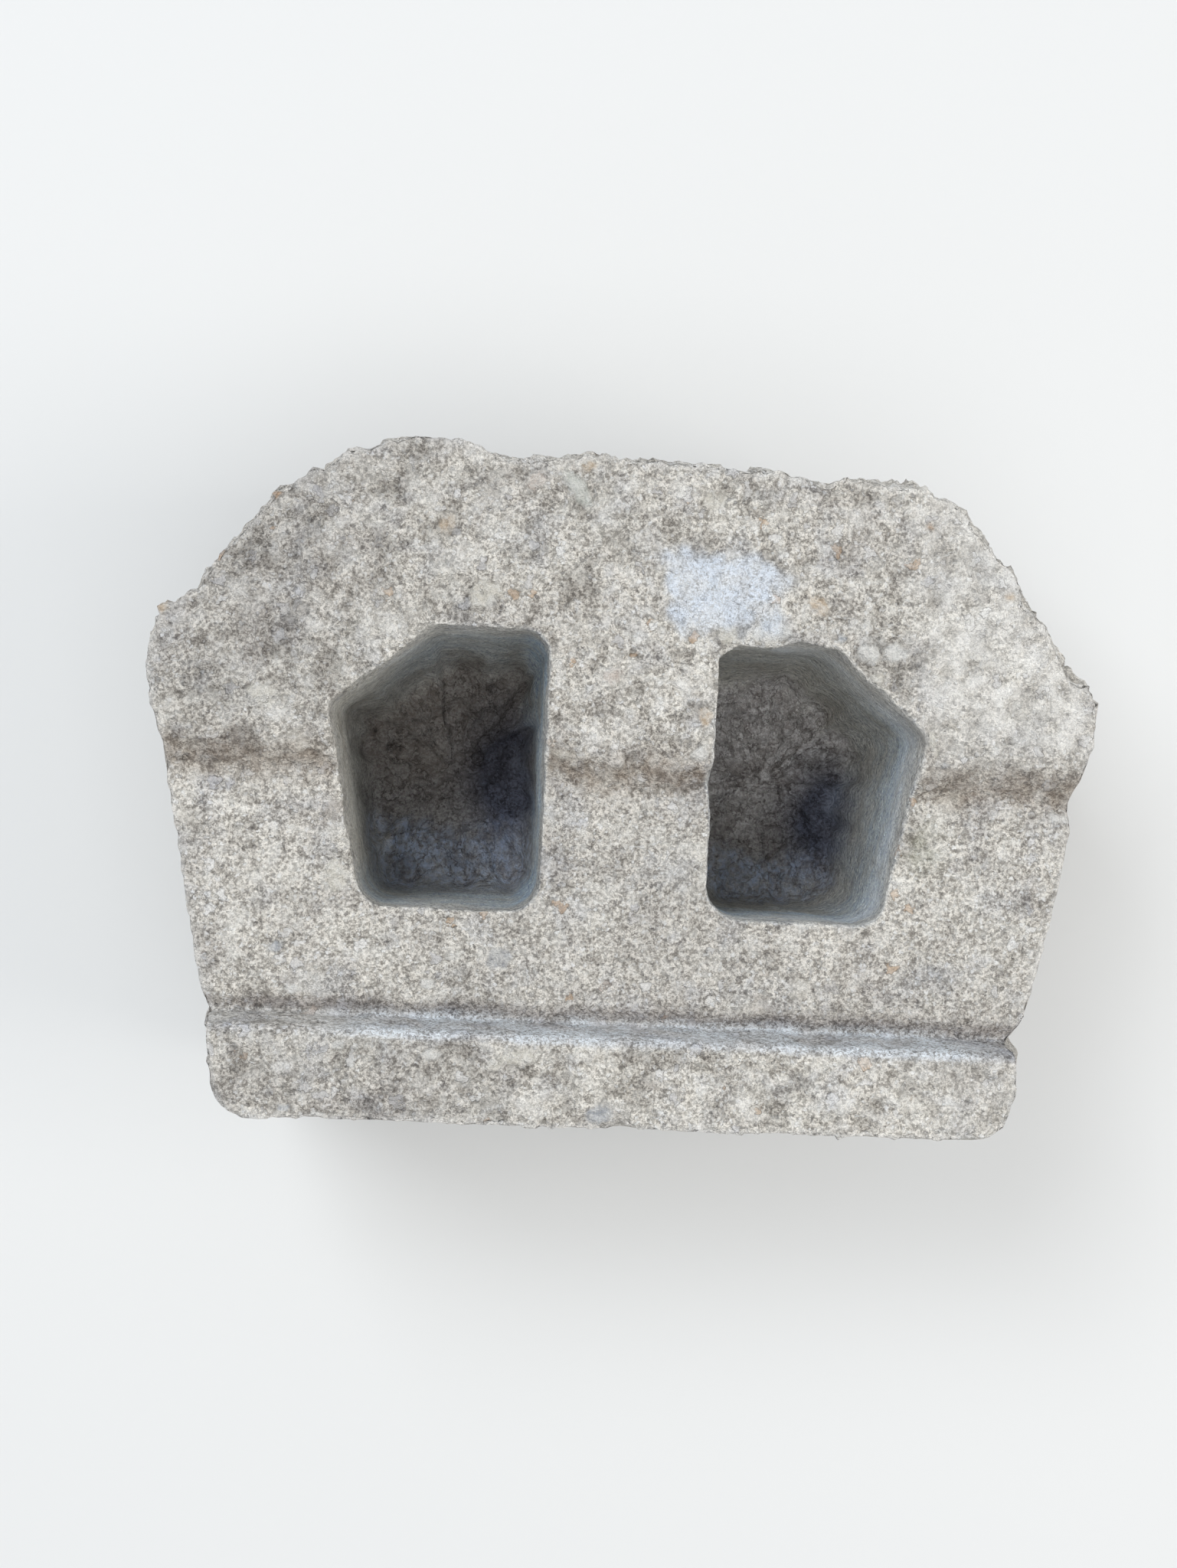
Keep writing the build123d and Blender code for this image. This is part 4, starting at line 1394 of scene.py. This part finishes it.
def block_body():
    """The whole block as one closed mesh with its relief, marks and finish.

    Each point moves along its outward direction by the relief less the depth of the cracks, and stays inside
    the box of the CAD block.
    """
    points, triangles, zones, edge = build_shell()
    relief = zone_relief(points, zones, np.clip(edge, 0, 1.2))
    relief, tint = add_single_stones(points, zones, relief)
    crack = crack_mask(points, zones)
    marks = surface_marks(points, zones, edge, relief)
    relief = relief - crack_depth * crack
    placed = points + normals_of(points, triangles) * relief[:, None]
    low, high = (np.array(corner) * 1000 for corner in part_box("retaining_block"))
    placed = np.clip(placed, low + box_margin, high - box_margin)
    on_base = zones[:, zone_names.index("base")] > 0.5
    placed[on_base, 2] = np.clip(placed[on_base, 2], box_margin, base_hollow)

    mesh = bpy.data.meshes.new("block_body")
    mesh.from_pydata((placed / 1000).tolist(), [], triangles.tolist())
    mesh.polygons.foreach_set("use_smooth", np.ones(len(triangles), bool))
    for name, values in {**marks, "crack": crack}.items():
        mesh.attributes.new(name, "FLOAT", "POINT").data.foreach_set("value", values.astype(np.float32))
    tints = mesh.attributes.new("stone_tint", "FLOAT_COLOR", "POINT")
    tints.data.foreach_set("color", tint.astype(np.float32).ravel())
    mesh.materials.append(dry_cast_concrete())
    mesh.update()
    return in_scene("block_body", mesh)


def in_scene(name, data):
    """An object with its data, linked into the scene."""
    made = bpy.data.objects.new(name, data)
    bpy.context.scene.collection.objects.link(made)
    return made


def turned_to(right, up, back, place):
    """The matrix of a lamp or camera that looks away from back, with its three directions as columns."""
    return Matrix([[right[n], up[n], back[n], place[n]] for n in range(3)] + [[0, 0, 0, 1]])


# Studio: half the width of the floor in metres, its colour, and the colour and strength of the surroundings
floor_reach = 5.0
floor_colour = (0.76, 0.76, 0.752, 1)
sky_colour, sky_strength = (0.93, 0.965, 1.0, 1), 0.57

# Lamps as (name, place in metres, width, power in watts, colour)
lamps = [
    ("overhead_lamp", (-0.05, 0.50, 2.35), 1.6, 13.0, (0.98, 0.99, 1.0)),
    ("key_lamp", (0.90, -0.85, 1.95), 1.0, 21.0, (0.93, 0.965, 1.0)),
    ("side_lamp", (-1.05, 0.10, 1.15), 0.7, 5.6, (1.0, 0.95, 0.88)),
]


def studio():
    """Pale floor, pale surroundings and soft square lamps that point at the block, at a plain level."""
    mesh = bpy.data.meshes.new("floor")
    corners = [(x * floor_reach, y * floor_reach, 0) for x, y in ((-1, -1), (1, -1), (1, 1), (-1, 1))]
    mesh.from_pydata(corners, [], [(0, 1, 2, 3)])
    floor = in_scene("floor", mesh)
    paint = bpy.data.materials.new("pale_floor")
    paint.use_nodes = True
    shader = paint.node_tree.nodes["Principled BSDF"]
    shader.inputs["Base Color"].default_value = floor_colour
    shader.inputs["Roughness"].default_value = 0.9
    shader.inputs["Specular IOR Level"].default_value = 0.1
    mesh.materials.append(paint)

    world = bpy.data.worlds.new("surroundings")
    bpy.context.scene.world = world
    world.use_nodes = True
    sky = world.node_tree.nodes["Background"]
    sky.inputs["Color"].default_value = sky_colour
    sky.inputs["Strength"].default_value = sky_strength

    for name, place, size, power, colour in lamps:
        lamp = bpy.data.lights.new(name, "AREA")
        lamp.shape = "SQUARE"
        lamp.size, lamp.energy, lamp.color = size, power, colour
        back = np.array(place) / np.sqrt(np.dot(place, place))
        right = np.cross((0, 0, 1), back)
        right = right / np.sqrt(right @ right)
        in_scene(name, lamp).matrix_world = turned_to(right, np.cross(back, right), back, place)


def photograph_camera():
    """A camera 0.83 m above the floor, looking almost straight down, with the split face towards the top."""
    camera = bpy.data.cameras.new("camera")
    camera.lens = 54.05
    camera.sensor_width = 36.0
    camera.clip_start, camera.clip_end = 0.05, 50
    right = (-0.99795, -0.04549, 0.04499)
    up = (0.04548, -0.99896, -0.0013)
    back = (0.04501, 0.00075, 0.99899)
    place = (0.0433, 0.00002, 0.8348)
    holder = in_scene("camera", camera)
    holder.matrix_world = turned_to(right, up, back, place)
    bpy.context.scene.camera = holder


studio()
photograph_camera()
body = block_body()
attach(body, "root")
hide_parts("retaining_block")
bpy.context.scene.view_settings.view_transform = "Standard"
